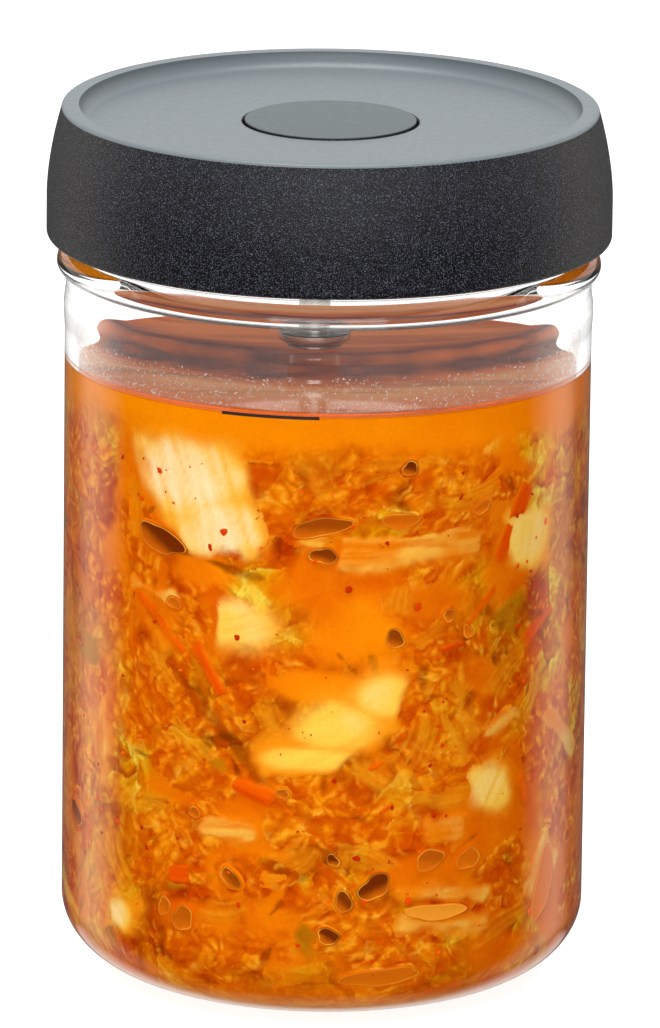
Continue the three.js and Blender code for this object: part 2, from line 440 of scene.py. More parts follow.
class Shader(Nodes):
    """A new node material with a Principled surface."""

    def __init__(self, name, **values):
        self.material = bpy.data.materials.new(name)
        self.material.use_nodes = True
        super().__init__(self.material.node_tree)
        self.surface = self.tree.nodes["Principled BSDF"]
        self.set(**values)

    def set(self, **values):
        """Feed the surface's sockets, named with _ for each space."""
        for socket, value in values.items():
            self.feed(self.surface.inputs[socket.replace("_", " ")], value)

    def place(self):
        return self.node("ShaderNodeTexCoord").outputs["Object"]

    def stretched(self, scale):
        """Object coordinates scaled along each axis."""
        mapping = self.node("ShaderNodeMapping")
        mapping.inputs["Scale"].default_value = scale
        self.feed(mapping.inputs["Vector"], self.place())
        return mapping.outputs["Vector"]

    def grain(self, size, detail=3.0, rough=0.55, distortion=0.0, coordinates=None, output="Fac"):
        """Noise from 0 to 1 with features of about that many millimetres."""
        made = self.node("ShaderNodeTexNoise")
        made.inputs["Scale"].default_value = 1 / (size * MM)
        made.inputs["Detail"].default_value = detail
        made.inputs["Roughness"].default_value = rough
        made.inputs["Distortion"].default_value = distortion
        self.feed(made.inputs["Vector"], coordinates or self.place())
        return made.outputs[output]

    def swirled(self, size, reach):
        """Object coordinates shifted by a noise, both in millimetres."""
        shift = self.grain(size, detail=1.0, rough=0.5, output="Color")
        return self.moved("MULTIPLY_ADD", shift, (reach * MM,) * 3, self.place())

    def flakes(self, coordinates, size, stretch, degrees):
        """Distance from 0 at the middle to about 1 at the edge of long cells that lean by an angle."""
        leant = self.node("ShaderNodeMapping", vector_type="TEXTURE")
        leant.inputs["Rotation"].default_value = (0.0, math.radians(degrees), 0.0)
        leant.inputs["Scale"].default_value = (stretch, 1.0, 1.0)
        self.feed(leant.inputs["Vector"], coordinates)
        made = self.node("ShaderNodeTexVoronoi", feature="F1")
        made.inputs["Scale"].default_value = 1 / (size * MM)
        self.feed(made.inputs["Vector"], leant.outputs["Vector"])
        return made.outputs["Distance"]

    def between(self, value, *stops):
        """A colour ramp through (place, colour) stops."""
        made = self.node("ShaderNodeValToRGB")
        elements = made.color_ramp.elements
        while len(elements) < len(stops):
            elements.new(0.5)
        for element, (where, colour) in zip(elements, stops):
            element.position = where
            element.color = (*colour, 1.0)
        self.feed(made.inputs["Fac"], value)
        return made.outputs["Color"]

    def times(self, first, second):
        """Two colours multiplied."""
        return self.mixed(1.0, first, second, blend_type="MULTIPLY")

    def bump(self, value, height, strength):
        made = self.node("ShaderNodeBump")
        made.inputs["Strength"].default_value = strength
        made.inputs["Distance"].default_value = height * MM
        self.feed(made.inputs["Height"], value)
        self.set(Normal=made.outputs["Normal"])


def tinted(name, size, low, high, **values):
    """A shader whose colour drifts between two tints over about that many millimetres."""
    made = Shader(name, **values)
    made.set(Base_Color=made.between(made.grain(size), (0.3, low), (0.7, high)))
    return made


def glass_material():
    made = tinted("clear_glass", 40, (0.938, 0.946, 0.943), (0.958, 0.963, 0.961), IOR=1.46, **CLEAR)
    made.bump(made.grain(26, detail=1.0), 0.05, 0.25)
    return made.material


def wet_glass_material():
    """The inside of the glass where brine wets it: light goes on straight."""
    return tinted("wetted_glass", 30, (0.99, 0.985, 0.975), WHITE, IOR=1.0, **CLEAR).material


def brine_material():
    return tinted("clear_brine", 18, (1.0, 0.975, 0.93), (1.0, 0.99, 0.96), IOR=1.0, **CLEAR).material


def droplet_material():
    look = {"Transmission_Weight": 0.7, "IOR": 1.33, "Roughness": 0.3}
    return tinted("condensation", 6, (0.95, 0.82, 0.7), (1.0, 0.93, 0.86), **look).material


def print_material():
    return tinted("fill_line_print", 0.6, (0.016, 0.005, 0.003), (0.03, 0.01, 0.005), Roughness=0.5).material


def brine_top_material():
    """The glossy top of the brine: curved bands from front to back that are a painted reflection and painted
    shade, the dark one a painted mirror image of the vent, with a thin film and a painted glow by emission.
    """
    made = Shader("brine_top", IOR=1.34, Specular_IOR_Level=0.3, Roughness=0.04, Emission_Strength=0.3)
    spot = made.split(made.place())
    wave = made.range(made.grain(16, detail=2.0), 0.3, 0.7, -4 * MM, 4 * MM)
    side_squared = made.worked("MULTIPLY", spot["X"], spot["X"])
    waved = made.worked("ADD", spot["Y"], wave)
    curve = made.worked("MULTIPLY_ADD", side_squared, -MIRRORED_BAND_BEND / MM, waved)
    back = made.range(curve, -INNER_RADIUS * MM, INNER_RADIUS * MM)
    # Painted reflection and shade in bands; the dark band in front of the vent is its painted mirror image.
    painted_reflection_bands = made.between(
        back,
        (0.0, (0.86, 0.15, 0.01)),
        (0.22, (1.0, 0.4, 0.15)),
        (0.34, (0.88, 0.17, 0.015)),
        (0.42, (0.2, 0.018, 0.002)),
        (0.49, (0.6, 0.1, 0.006)),
        (0.66, (1.0, 0.23, 0.022)),
    )
    film = made.grain(11, distortion=0.6, coordinates=made.stretched((0.16, 1.0, 1.0)))
    tone = made.times(painted_reflection_bands, made.between(film, (0.36, (0.7, 0.6, 0.5)), (0.5, WHITE)))
    # The same tone glows by emission, a painted light where the lid keeps light off the brine.
    made.set(Base_Color=tone, Emission_Color=tone)
    made.bump(made.grain(9, detail=2.0), 0.05, 0.3)
    return made.material


def lid_side_material():
    """Charcoal plastic with a coarse spark-eroded grain whose lightest specks are painted glints."""
    made = Shader("lid_grain", IOR=1.5, Specular_IOR_Level=0.34)
    fine = made.grain(0.24, detail=1.0, rough=0.6)
    # The lightest specks of the grain are painted glints.
    tone = made.between(
        fine,
        (0.42, (0.0006, 0.0006, 0.001)),
        (0.56, (0.0022, 0.0025, 0.005)),
        (0.68, (0.085, 0.09, 0.125)),
    )
    rough = made.range(made.grain(0.5, detail=2.0), 0.3, 0.7, 0.44, 0.3)
    made.set(Base_Color=tone, Roughness=rough)
    made.bump(fine, 0.14, 0.8)
    return made.material


def lid_top_material():
    """The same plastic with a finer satin skin, in a lighter grey than the side as a painted sheen."""
    made = Shader("lid_satin", IOR=1.5, Specular_IOR_Level=0.5)
    fine = made.grain(0.25, detail=2.0)
    tone = made.between(fine, (0.35, (0.13, 0.155, 0.17)), (0.65, (0.16, 0.188, 0.205)))
    made.set(Base_Color=tone, Roughness=made.range(made.grain(1.5), 0.3, 0.7, 0.36, 0.44))
    made.bump(fine, 0.02, 0.3)
    return made.material


def button_material():
    made = Shader("button_matt", IOR=1.5, Specular_IOR_Level=0.42)
    fine = made.grain(0.3, detail=2.0)
    tone = made.between(fine, (0.35, (0.085, 0.105, 0.112)), (0.65, (0.105, 0.128, 0.136)))
    made.set(Base_Color=tone, Roughness=made.range(made.grain(1.2), 0.3, 0.7, 0.5, 0.6))
    made.bump(fine, 0.03, 0.4)
    return made.material


def steel_material(name, dark, light):
    """Steel with fine turning marks, a little warm."""
    made = Shader(name, Metallic=1.0)
    rings = made.grain(0.35, coordinates=made.stretched((0.02, 0.02, 1.0)))
    low, high = ((bright, 0.97 * bright, 0.92 * bright) for bright in (dark, light))
    made.set(Base_Color=made.between(rings, (0.3, low), (0.7, high)))
    made.set(Roughness=made.range(rings, 0.3, 0.7, 0.16, 0.32))
    made.bump(rings, 0.02, 0.4)
    return made.material


def food_material(name, relief):
    """Wet food: its own painted tone, with fine crinkles where that tone is marked as leafy: a painted shade
    in their hollows and a painted highlight on their crests.
    """
    made = Shader(name, IOR=1.34, Specular_IOR_Level=0.0)
    paint = made.node("ShaderNodeAttribute", attribute_name="tone")
    swirl = made.swirled(5.0, 6.5)
    patch = made.range(made.grain(10, detail=1.0), 0.47, 0.53)
    falling = made.flakes(swirl, 2.1, 3.6, -32)
    rising = made.flakes(swirl, 2.0, 3.4, 48)
    crinkle = made.mixed(patch, falling, rising, data_type="FLOAT")
    # A painted shade in the hollows of the crinkles and a painted highlight on their crests, where the tone
    # is leafy.
    low = made.between(crinkle, (0.4, (0, 0, 0)), (0.73, (0.64, 0.64, 0.64)))
    high = made.between(crinkle, (0.05, (0.68, 0.68, 0.68)), (0.4, (0, 0, 0)))
    tone = paint.outputs["Color"]
    for share, crinkle_tone in ((low, CRINKLE_SHADE), (high, CRINKLE_HIGHLIGHT)):
        leafy_share = made.worked("MULTIPLY", share, paint.outputs["Alpha"])
        tone = made.mixed(leafy_share, tone, (*crinkle_tone, 1.0))
    fine = made.grain(0.6, detail=2.0)
    made.set(Base_Color=made.times(tone, made.between(fine, (0.3, (0.93, 0.9, 0.85)), (0.7, WHITE))))
    made.set(Roughness=made.range(fine, 0.3, 0.7, 0.42, 0.6))
    made.bump(fine, 0.3 * relief, 0.4)
    return made.material


def floor_material():
    """A pale floor that looks white to the camera and lights the jar a little less."""
    made = Shader("pale_floor", Roughness=0.9, Specular_IOR_Level=0.1, Emission_Color=(*WHITE, 1.0))
    seen = made.node("ShaderNodeLightPath").outputs["Is Camera Ray"]
    pale = made.between(made.grain(60), (0.3, (0.9, 0.9, 0.9)), (0.7, (0.93, 0.93, 0.93)))
    made.set(Emission_Strength=made.range(seen, 0.0, 1.0, 0.5, 0.84))
    made.set(Base_Color=made.mixed(seen, pale, (0.45, 0.45, 0.45, 1.0)))
    return made.material


# Glass jar

def inner_profile_to(top_z, gap):
    """The jar's inside from the floor's centre up to a level, moved into the wall by the gap."""
    wall = INNER_RADIUS + gap
    floor = FLOOR_Z - gap
    centre = wall - INNER_HEEL_WIDTH
    return [
        (0.0, floor),
        (centre * 0.5, floor),
        (centre, floor),
        *arc(centre, floor + INNER_HEEL_HEIGHT, INNER_HEEL_WIDTH, INNER_HEEL_HEIGHT, -90, 0, 22),
        (wall, top_z),
    ]


def make_glass_jar():
    lip_middle = (FINISH_RADIUS + MOUTH_RADIUS) / 2
    lip_half = (FINISH_RADIUS - MOUTH_RADIUS) / 2
    foot = BODY_RADIUS - HEEL_WIDTH
    ring_height = RING_WIDEST_Z - RING_BOTTOM_Z
    slope_start = FINISH_RADIUS - RING_SLOPE_INSET
    slope_height = RING_TOP_Z - RING_WIDEST_Z + RING_SLOPE_RISE
    outside = [
        (0.0, 0.0),
        (foot * 0.5, 0.0),
        (foot, 0.0),
        *arc(foot, HEEL_HEIGHT, HEEL_WIDTH, HEEL_HEIGHT, -90, 0, 26),
        (BODY_RADIUS, 60.0),
        (BODY_RADIUS, BODY_TOP_Z),
        *eased_rise((BODY_RADIUS, BODY_TOP_Z), (BULGE_RADIUS, BULGE_Z), 6),
        *eased_rise((BULGE_RADIUS, BULGE_Z), (NECK_RADIUS, NECK_Z), 6),
        (NECK_RADIUS, RING_BOTTOM_Z),
        *arc(NECK_RADIUS, RING_WIDEST_Z, RING_RADIUS - NECK_RADIUS, ring_height, -90, 0, 12),
        *arc(slope_start, RING_WIDEST_Z, RING_RADIUS - slope_start, slope_height, 0, RING_SLOPE_DEGREES, 14),
        (FINISH_RADIUS, MOUTH_Z - lip_half),
        *arc(lip_middle, MOUTH_Z - lip_half, lip_half, lip_half, 0, 180, 8),
        (MOUTH_RADIUS, INNER_NECK_Z),
        *eased_rise((MOUTH_RADIUS, INNER_NECK_Z), (INNER_RADIUS, INNER_BODY_TOP_Z), 10),
    ]
    inside = inner_profile_to(BRINE_Z, 0)[::-1]
    profile = [*outside, *inside]
    glasses = [glass_material(), wet_glass_material()]
    jar = make_turned("jar_glass", profile, glasses, (len(outside), len(profile)))
    jar.visible_shadow = False
    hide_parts("glass_jar")


def make_fill_line():
    """A short dark line on the outside of the glass at the fill height."""
    bearing = np.radians(np.linspace(*FILL_LINE_DEGREES, 30))
    low = FILL_LINE_Z - FILL_LINE_HALF_HEIGHT
    high = FILL_LINE_Z + FILL_LINE_HALF_HEIGHT
    back = BODY_RADIUS + PRINT_STAND
    face = back + PRINT_THICKNESS
    rows = []
    for height, radius in ((low, back), (low, face), (high, face), (high, back)):
        rows.append(round_axis(radius, bearing, np.full_like(bearing, height)))
    points = np.concatenate(rows)
    faces = grid_faces(4, len(bearing)).tolist()
    line = make_piece("fill_line", points, faces, [print_material()], sharp=30)
    line.visible_shadow = False


# Lid, button and vent

def make_lid():
    rim_inner = RIM_RADIUS - RIM_EDGE - RIM_WIDTH
    recess_radius = rim_inner - RECESS_FILLET
    side_top = LID_TOP_Z - RIM_EDGE
    below = [
        (0.0, PLUG_Z),
        (PLUG_RADIUS - PLUG_CHAMFER, PLUG_Z),
        (PLUG_RADIUS, PLUG_Z + PLUG_CHAMFER),
        (PLUG_RADIUS, MOUTH_Z + GAP),
        (SKIRT_INNER_RADIUS, MOUTH_Z + GAP),
        (SKIRT_INNER_RADIUS, LID_BOTTOM_Z),
        (LID_RADIUS - LID_CORNER, LID_BOTTOM_Z),
        *arc(LID_RADIUS - LID_CORNER, LID_BOTTOM_Z + LID_CORNER, LID_CORNER, LID_CORNER, -90, 0, 8),
    ]
    side = []
    side_steps = 16
    for step in range(side_steps + 1):
        share = step / side_steps
        side.append((LID_RADIUS - (LID_RADIUS - RIM_RADIUS) * share ** SIDE_POWER,
                     LID_STRAIGHT_Z + share * (side_top - LID_STRAIGHT_Z)))
    above = [
        *arc(RIM_RADIUS - RIM_EDGE, side_top, RIM_EDGE, RIM_EDGE, 0, 90, 6),
        (rim_inner, LID_TOP_Z),
        *arc(recess_radius, LID_TOP_Z, RECESS_FILLET, LID_TOP_Z - RECESS_Z, 0, -90, 10),
        (POCKET_RADIUS + POCKET_EDGE, RECESS_Z),
        (POCKET_RADIUS, RECESS_Z - POCKET_EDGE),
        (POCKET_RADIUS, POCKET_Z),
        (0.0, POCKET_Z),
    ]
    profile = [*below, *side, *above]
    plastics = [lid_side_material(), lid_top_material()]
    # The rounded rim takes the lighter top plastic as a painted highlight along its edge; the pocket round
    # the button keeps the dark side plastic as a painted shade in that groove.
    top = (len(below) + len(side) - 1, len(profile) - 4)
    lid = make_turned("lid_shell", profile, plastics, top)
    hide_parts("lid")


def make_button():
    profile = [
        (0.0, POCKET_Z + GAP),
        (BUTTON_RADIUS, POCKET_Z + GAP),
        (BUTTON_RADIUS, BUTTON_Z - BUTTON_EDGE),
        *arc(BUTTON_RADIUS - BUTTON_EDGE, BUTTON_Z - BUTTON_EDGE, BUTTON_EDGE, BUTTON_EDGE, 0, 90, 6),
        (0.0, BUTTON_Z),
    ]
    # The button's underside and side wall take the dark lid plastic, a painted shade that shows as a dark
    # line round its edge.
    plastics = [lid_side_material(), button_material()]
    top = (2, len(profile))
    button = make_turned("button", profile, plastics, top, sides=BUTTON_SIDES)
    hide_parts("lid_button")


def make_vent():
    profile = [
        (0.0, TIP_Z),
        (TIP_RADIUS - TIP_CHAMFER, TIP_Z),
        (TIP_RADIUS, TIP_Z + TIP_CHAMFER),
        (TIP_RADIUS, TIP_TOP_Z),
        (GROOVE_RADIUS, GROOVE_Z),
        (FLANGE_FOOT_RADIUS, FLANGE_FOOT_Z),
        *eased_rise((FLANGE_FOOT_RADIUS, FLANGE_FOOT_Z), (FLANGE_RADIUS, FLANGE_EDGE_Z), 6),
        (FLANGE_RADIUS, FLANGE_TOP_Z - FLANGE_CHAMFER),
        (FLANGE_RADIUS - FLANGE_CHAMFER, FLANGE_TOP_Z),
        (VENT_NECK_RADIUS, FLANGE_TOP_Z + GAP),
        (VENT_NECK_RADIUS, PLUG_Z - GAP),
        (0.0, PLUG_Z - GAP),
    ]
    # The groove takes a near-black copy of the steel, a painted shade.
    steels = [steel_material("turned_steel", 0.5, 0.78), steel_material("shaded_steel", 0.04, 0.1)]
    groove = (3, 5)
    vent = make_turned("vent", profile, steels, groove, 35, VENT_SIDES, VENT_X)
    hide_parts("steel_vent")


# Brine

def make_brine():
    """The brine round the pieces: clear sides that reach just into the wall and a glossy top."""
    sides = inner_profile_to(BRINE_Z + MENISCUS_RISE, INTO_WALL)
    edge = INNER_RADIUS + INTO_WALL
    top = []
    for inward in BRINE_TOP_RINGS:
        top.append((edge - inward, BRINE_Z + MENISCUS_RISE * math.exp(-inward / MENISCUS_WIDTH)))
    top.append((0.0, BRINE_Z))
    profile = [*sides, *top]
    brines = [brine_material(), brine_top_material()]
    brine = make_turned("brine", profile, brines, (len(sides) - 1, len(profile)), 50)
    brine.visible_shadow = False


# Contents: where pieces lie

# Pale chunks of stem that show at the front: corners (degrees round from the front, height) from the upper
# left down and round, how softly each edge fades into the brine, where they are palest (degrees, height and
# half sizes), how white that is rather than yellow, and which way their fibres run
STEM_CHUNKS = [
    ([(-53.5, 128), (-39, 101.5), (-11.5, 97.5), (-16, 126.5)], (5.0, 2.6, 3.4, 6.5),
     [(-34.5, 116.5, 17, 11.5), (-23.5, 106, 11, 8.5)], 1.0, 108),
    ([(-26, 93), (-25, 76), (-1, 76.5), (-1, 93)], (1.6, 9.0, 13.0, 4.5), [(-19.5, 87, 9.5, 7.5)], 0.25, 20),
    ([(-21, 63.5), (-15, 54), (2, 54), (17.5, 63), (21, 76), (12, 84), (-1.5, 77)],
     (2.4, 1.6, 2.8, 2.6, 3.5, 8.0, 8.0), [(13, 72, 6.5, 5), (3, 66, 9, 5), (-3, 58.5, 10, 2.4)], 0.05, 26),
    ([(43.5, 110), (45, 94), (65, 90), (63, 109)], (2.6, 3.5, 4.0, 4.0), [(52, 102, 8, 7)], 0.35, 80),
    ([(32, 56.5), (34, 42.5), (50.5, 41.5), (49.5, 55.5)], (5.0, 5.0, 5.0, 5.0), [(40, 50, 7, 6)], 0.25, 60),
    ([(-62, 25.5), (-60, 14.5), (-45, 11), (-41, 26)], (4.0, 3.5, 4.0, 4.5), [(-53, 19, 4, 4)], 0.4, -40),
]
# Leaf ribs: corners and softness in the same way, how yellow, and which way their fibres run
RIB_CHUNKS = [
    ([(2.5, 107), (2, 98), (38.5, 97), (38, 106)], (1.0, 2.6, 0.7, 0.8), 0.75, -2),
    ([(-10, 109), (-6.5, 102.5), (3, 102), (3, 108.5)], (2.0, 1.6, 2.0, 2.0), 0.85, -4),
    ([(14.5, 32.5), (15, 26.8), (44, 24), (44, 29.5)], (2.6, 1.6, 2.8, 2.2), 0.7, -4),
    ([(15, 26.8), (16, 19), (45.5, 15.5), (44, 24)], (2.6, 2.8, 3.2, 1.6), 0.75, -4),
    ([(60, 38), (50, 22.5), (58.5, 18.5), (70, 31)], (1.2, 2.2, 1.6, 2.2), 0.25, 62),
    ([(-66.5, 66), (-64, 40.5), (-54, 42), (-55, 68)], (3.0, 4.0, 2.6, 4.0), 0.5, 88),
    ([(-48, 94), (-49, 90), (-35.5, 86.5), (-31.5, 91)], (2.0, 1.2, 2.0, 1.6), 0.6, -20),
    ([(-32, 44), (-30.5, 36), (-14, 39), (-14.5, 47)], (2.6, 2.6, 2.6, 2.6), 0.7, 6),
    ([(21, 46.5), (22, 38.5), (37.5, 37), (36, 46)], (2.8, 1.6, 2.0, 2.6), 0.5, -6),
    ([(33.5, 62), (37.5, 57.5), (53, 63), (49, 68.5)], (2.4, 2.0, 3.0, 2.4), 0.7, 34),
]
# Carrot sticks and greens: degrees round, height, length, width and tilt
CARROTS = [
    (-40, 84, 19, 3.6, -42), (47, 105, 20, 4.8, 60), (37, 88, 15, 3.6, 44), (-16, 51, 11, 4.6, -22),
    (-34, 31, 6.5, 4.6, 4), (30, 81, 9, 2.8, 10), (57, 82, 13, 4.0, 30), (12, 57, 6, 3.4, 28),
    (25, 18.5, 7, 2.4, -8), (-27, 76, 13, 3.4, -58), (14, 47.5, 5, 2.4, 30), (52, 47, 9, 3.0, -66),
]
GREENS = [
    (47, 87, 11, 7.5, 62), (-4, 20.5, 9, 8, -40), (40, 85, 10, 1.9, 44), (-26, 31.5, 7.5, 3.2, 3),
    (-32, 28, 11, 1.7, 0), (-24, 55.5, 6.5, 6, 20), (-45, 36.5, 10, 2.4, 14), (-55, 13, 6, 2.4, -50),
]
# Leaves at the front: degrees round, height, width, length, tilt and how yellow
FRONT_LEAVES = [
    (9, 117.5, 34, 14, 2, 0.55), (40, 116, 24, 11, -6, 0.4), (-42, 69, 22, 22, -40, 0.45),
    (29, 67, 20, 24, -28, 0.35), (4, 47.5, 34, 16, -4, 0.55), (-41, 38, 24, 17, 8, 0.6),
    (7, 25, 20, 19, -10, 0.55), (-24, 16.5, 32, 12, 4, 0.3), (-33, 55, 16, 14, -30, 0.5),
    (-48, 100, 12, 26, 10, 0.35), (48, 72, 16, 12, 28, 0.35), (46, 30, 14, 14, 0, 0.3),
    (26, 109, 22, 7, 4, 0.35), (-12, 113, 10, 18, -10, 0.6), (-16, 34, 18, 10, 10, 0.4),
    (22, 13, 26, 8, 8, 0.3), (28, 55, 22, 10, -10, 0.5), (-20, 67, 12, 14, -50, 0.55),
    (57, 60, 14, 18, 0, 0.3), (-58, 84, 16, 18, 0, 0.4),
]
# Bundles of leaf veins: degrees round, height, length, width, heading, bend and how yellow
BUNDLES = [
    (31, 66, 20, 9, 108, -0.5, 0.6), (-38, 73, 20, 6, -48, 0.3, 0.5), (0, 116, 15, 7, -60, 0.5, 0.5),
    (14, 120, 22, 5, 6, -0.3, 0.5), (36, 113, 18, 5, 12, 0.4, 0.4), (17, 92, 7, 5, 80, 0.1, 0.7),
    (24, 84, 10, 3, 32, 0.5, 0.5), (-30, 59, 15, 4, -40, -0.3, 0.8), (14, 54, 12, 6, -30, 0.9, 0.5),
    (26, 50, 20, 6, -14, 0.4, 0.6), (-45, 45, 15, 5, 20, -0.8, 0.7), (-54, 30, 16, 6, -60, 0.4, 0.6),
    (46, 74, 14, 5, 40, -0.5, 0.4), (53, 66, 14, 5, 50, 0.3, 0.4), (-47, 107, 18, 4, 95, 0.3, 0.4),
    (-6, 36, 14, 5, 30, 0.8, 0.5), (10, 38, 16, 5, -20, -0.6, 0.6), (-22, 25, 12, 5, 10, 0.6, 0.5),
    (48, 20, 18, 4, 14, -0.2, 0.3), (-8, 62, 24, 4, -38, 0.7, 0.6), (21, 60, 15, 6, 62, 0.5, 0.5),
]
# Pockets of bare brine: degrees round, height, half width, half height and how bright
POCKETS = [
    (4, 95, 19, 5, 0.35), (9, 85, 13, 9, 0.75), (-2, 74, 12, 4, 0.8), (-27, 97, 8, 4, 0.6),
    (-25, 85, 5, 9, 0.2), (24, 91, 10, 6, 0.3), (25, 33.5, 14, 4, 0.3), (52, 42, 10, 8, 0.25),
    (45, 98, 6, 12, 0.25), (-29, 22, 12, 4, 0.3), (44, 13, 14, 5, 0.3), (-47, 62, 6, 7, 0.2),
    (38, 74, 6, 5, 0.3), (-38, 49, 8, 4, 0.3), (30, 24.5, 3, 1.5, 0.5),
]
# Gaps between leaves, a little deeper and darkened by a painted shade: degrees round and height of both ends,
# and how wide
GAPS = [
    (-37, 77, -29, 68, 2.6), (-30, 71, -14.5, 53.5, 1.9), (19, 117, 15.5, 113.5, 2.0),
    (-38, 101, -14, 96.5, 1.1), (40, 87, 46, 82, 1.6), (-14, 36.5, -4, 33, 1.2), (38, 79, 48, 77, 1.2),
    (-46, 45, -38, 46, 0.9), (46, 34, 50, 28, 1.8),
]
# Bubbles against the glass, painted with shade inside and a highlight round the rim: degrees round, height,
# width, height across, turn and how dark
BUBBLES = [
    (-40, 102, 11, 5.0, -22, 1.0), (-1, 108, 10.5, 3.6, 8, 0.7), (-0.4, 102, 4.7, 3.0, 0, 0.9),
    (17, 109, 7, 2.8, 6, 0.25), (16, 84, 3.4, 3.2, 0, 0.8), (29, 88, 2, 2, 0, 0.5),
    (25, 36, 5.6, 3.8, 0, 0.45), (35, 35, 4.6, 4.0, 0, 0.25), (12, 31, 6.0, 4.6, 40, 1.0),
    (5, 28, 2.8, 4.2, -10, 0.9), (2.5, 37, 1.8, 2.4, 30, 1.0), (1.6, 20.6, 4.4, 2.6, -20, 1.0),
    (-38, 23.5, 2.6, 3.2, 0, 0.3), (-33, 21.6, 4.4, 4.6, 20, 0.35), (-21, 32, 4.0, 2.8, -40, 0.7),
    (-30, 45, 1.8, 2, 0, 0.4), (14, 11.5, 16.6, 2.8, 6, 0.15), (60, 25, 6.5, 13, -20, 0.1),
    (19, 120, 3.0, 2.3, 0, 1.0), (37.5, 110, 3.8, 1.8, 20, 0.3), (-36, 89, 2.6, 2.0, -20, 0.2),
    (-9, 51, 1.9, 1.9, 0, 0.4), (27, 24.5, 13, 2.6, 0, 0.0), (34, 84, 1.8, 2.2, 10, 0.2),
]
# Draws, numbers of scattered pieces and the sizes of the core's grids (columns, rows)
HEAP_SEED = 4217
DRAW_FACTOR = 48271
DRAW_MODULUS = 2147483647
HEAP_ROWS = 6
HEAP_COLUMNS = 9
ROW_RISE = 18.5
FIRST_ROW_Z = 20
FRONT_REACH = 66
FRONT_DEGREES = (-FRONT_REACH, FRONT_REACH)
BACK_DEGREES = (FRONT_REACH, 360 - FRONT_REACH)
GAPS_SEED = 551
CONTENTS_SEED = 9021
FRONT_GRID = (320, 240)
BACK_GRID = (270, 136)
SMALL_GAP_COUNT = 96
BACK_EXTRAS = 34
CURLS = 150
FRONT_CURLS = 90
BACK_BUBBLES = 60
FLAKES = 360
FRONT_FLAKES = 120
DROPS_SEED = 377


def rest_of_pieces():
    """The rows of pieces round the rest of the jar, from the same draws as the solids."""
    state = HEAP_SEED
    names = ("stem", "leaf", "rib", "leaf", "carrot", "leaf", "stem", "green")
    rows = []
    for row in range(HEAP_ROWS):
        for column in range(HEAP_COLUMNS):
            draws = []
            for _ in range(6):
                state = state * DRAW_FACTOR % DRAW_MODULUS
                draws.append(state / DRAW_MODULUS)
            kind = names[int(draws[0] * len(names))]
            slim = kind in ("rib", "carrot")
            angle = (column + 0.5 * (row % 2) + 0.4 * draws[1]) * 360 / HEAP_COLUMNS - 180
            height = FIRST_ROW_Z + ROW_RISE * row + 5 * (draws[2] - 0.5)
            width = 18 + 10 * draws[3] if slim else 17 + 9 * draws[3]
            length = 4 + 3 * draws[4] if slim else 11 + 6 * draws[4]
            tilt = 100 * (draws[5] - 0.5) if slim else 60 * (draws[5] - 0.5)
            if FRONT_REACH < angle % 360 < 360 - FRONT_REACH:
                rows.append((kind, angle, height, width, length, tilt))
    return rows


def on_wall(bearing, height, depth):
    """Points that lie a depth in from the inside of the glass, square to it round the heel as well."""
    drop = np.clip((FLOOR_Z + INNER_HEEL_HEIGHT - height) / INNER_HEEL_HEIGHT, 0, 1)
    level = np.sqrt(1 - drop ** 2)
    out = level / INNER_HEEL_WIDTH
    down = drop / INNER_HEEL_HEIGHT
    size = np.hypot(out, down)
    radius = INNER_RADIUS - INNER_HEEL_WIDTH * (1 - level) - depth * out / size
    return round_axis(radius, bearing, height + depth * down / size)


def wall_run(height):
    """How far up the inside of the glass a height is, measured along the wall round the heel."""
    heel_top = FLOOR_Z + INNER_HEEL_HEIGHT
    drop = np.clip((heel_top - height) / INNER_HEEL_HEIGHT, 0, 1)
    return np.maximum(height, heel_top) - (INNER_HEEL_WIDTH + INNER_HEEL_HEIGHT) / 2 * np.arcsin(drop)


def turned_about(across, along, tilt):
    cosine = math.cos(math.radians(tilt))
    sine = math.sin(math.radians(tilt))
    return across * cosine - along * sine, across * sine + along * cosine


def local_points(across, along, seed):
    """Points for noise in a piece's own plane, apart from every other piece's."""
    return np.stack([across + 37.0 * seed, along - 19.0 * seed, np.full_like(across, 5.3 * seed)], axis=-1)


def around(bearing, degrees):
    """Millimetres round the wall from a place, the short way."""
    return (np.mod(bearing - math.radians(degrees) + math.pi, 2 * math.pi) - math.pi) * INNER_RADIUS


# Contents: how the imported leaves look

ROUND_WALL = 2 * math.pi * INNER_RADIUS
# Layers of noise that bend the leaves: reach and size
WALL_WARP = ((3.2, 10), (1.2, 3.4))
LEAF_WARP = ((1.6, 6), (0.7, 2.4))
# Tones of a leaf from its hollows to its crests, and how far up each comes: partly the leaf's own colour,
# partly a painted shade in the hollows and a painted highlight on the crests
LEAF_STEPS = (0.0, 0.22, 0.45, 0.7, 1.0)
LEAF_SHADED_TONES = np.array([
    (0.4, 0.047, 0.001),
    (0.62, 0.096, 0.001),
    (0.73, 0.156, 0.001),
    (0.83, 0.29, 0.004),
    (0.93, 0.5, 0.05),
])
# How a drift towards paler or deeper leaves changes these tones
PALER = (0.92, 1.42, 1.6)
DEEPER = (0.96, 0.68, 0.5)
# Painted shade in the gaps, cloudy brine in the pockets, the brine near the top painted in a lit and a shaded
# tone, and painted light where it comes in from the left and the base
GAP_SHADE = (0.22, 0.032, 0.001)
BRINE_DEEP = (0.7, 0.105, 0.0006)
BRINE_BRIGHT = (0.95, 0.3, 0.002)
SURFACE_SHADED = (0.79, 0.175, 0.0008)
SURFACE_LIT = (0.95, 0.29, 0.001)
LEFT_GLOW = (0.8, 0.34, 0.06)
BASE_GLOW = (1.0, 0.52, 0.2)
CORE_MIDDLE = (0.84, 0.165, 0.001)


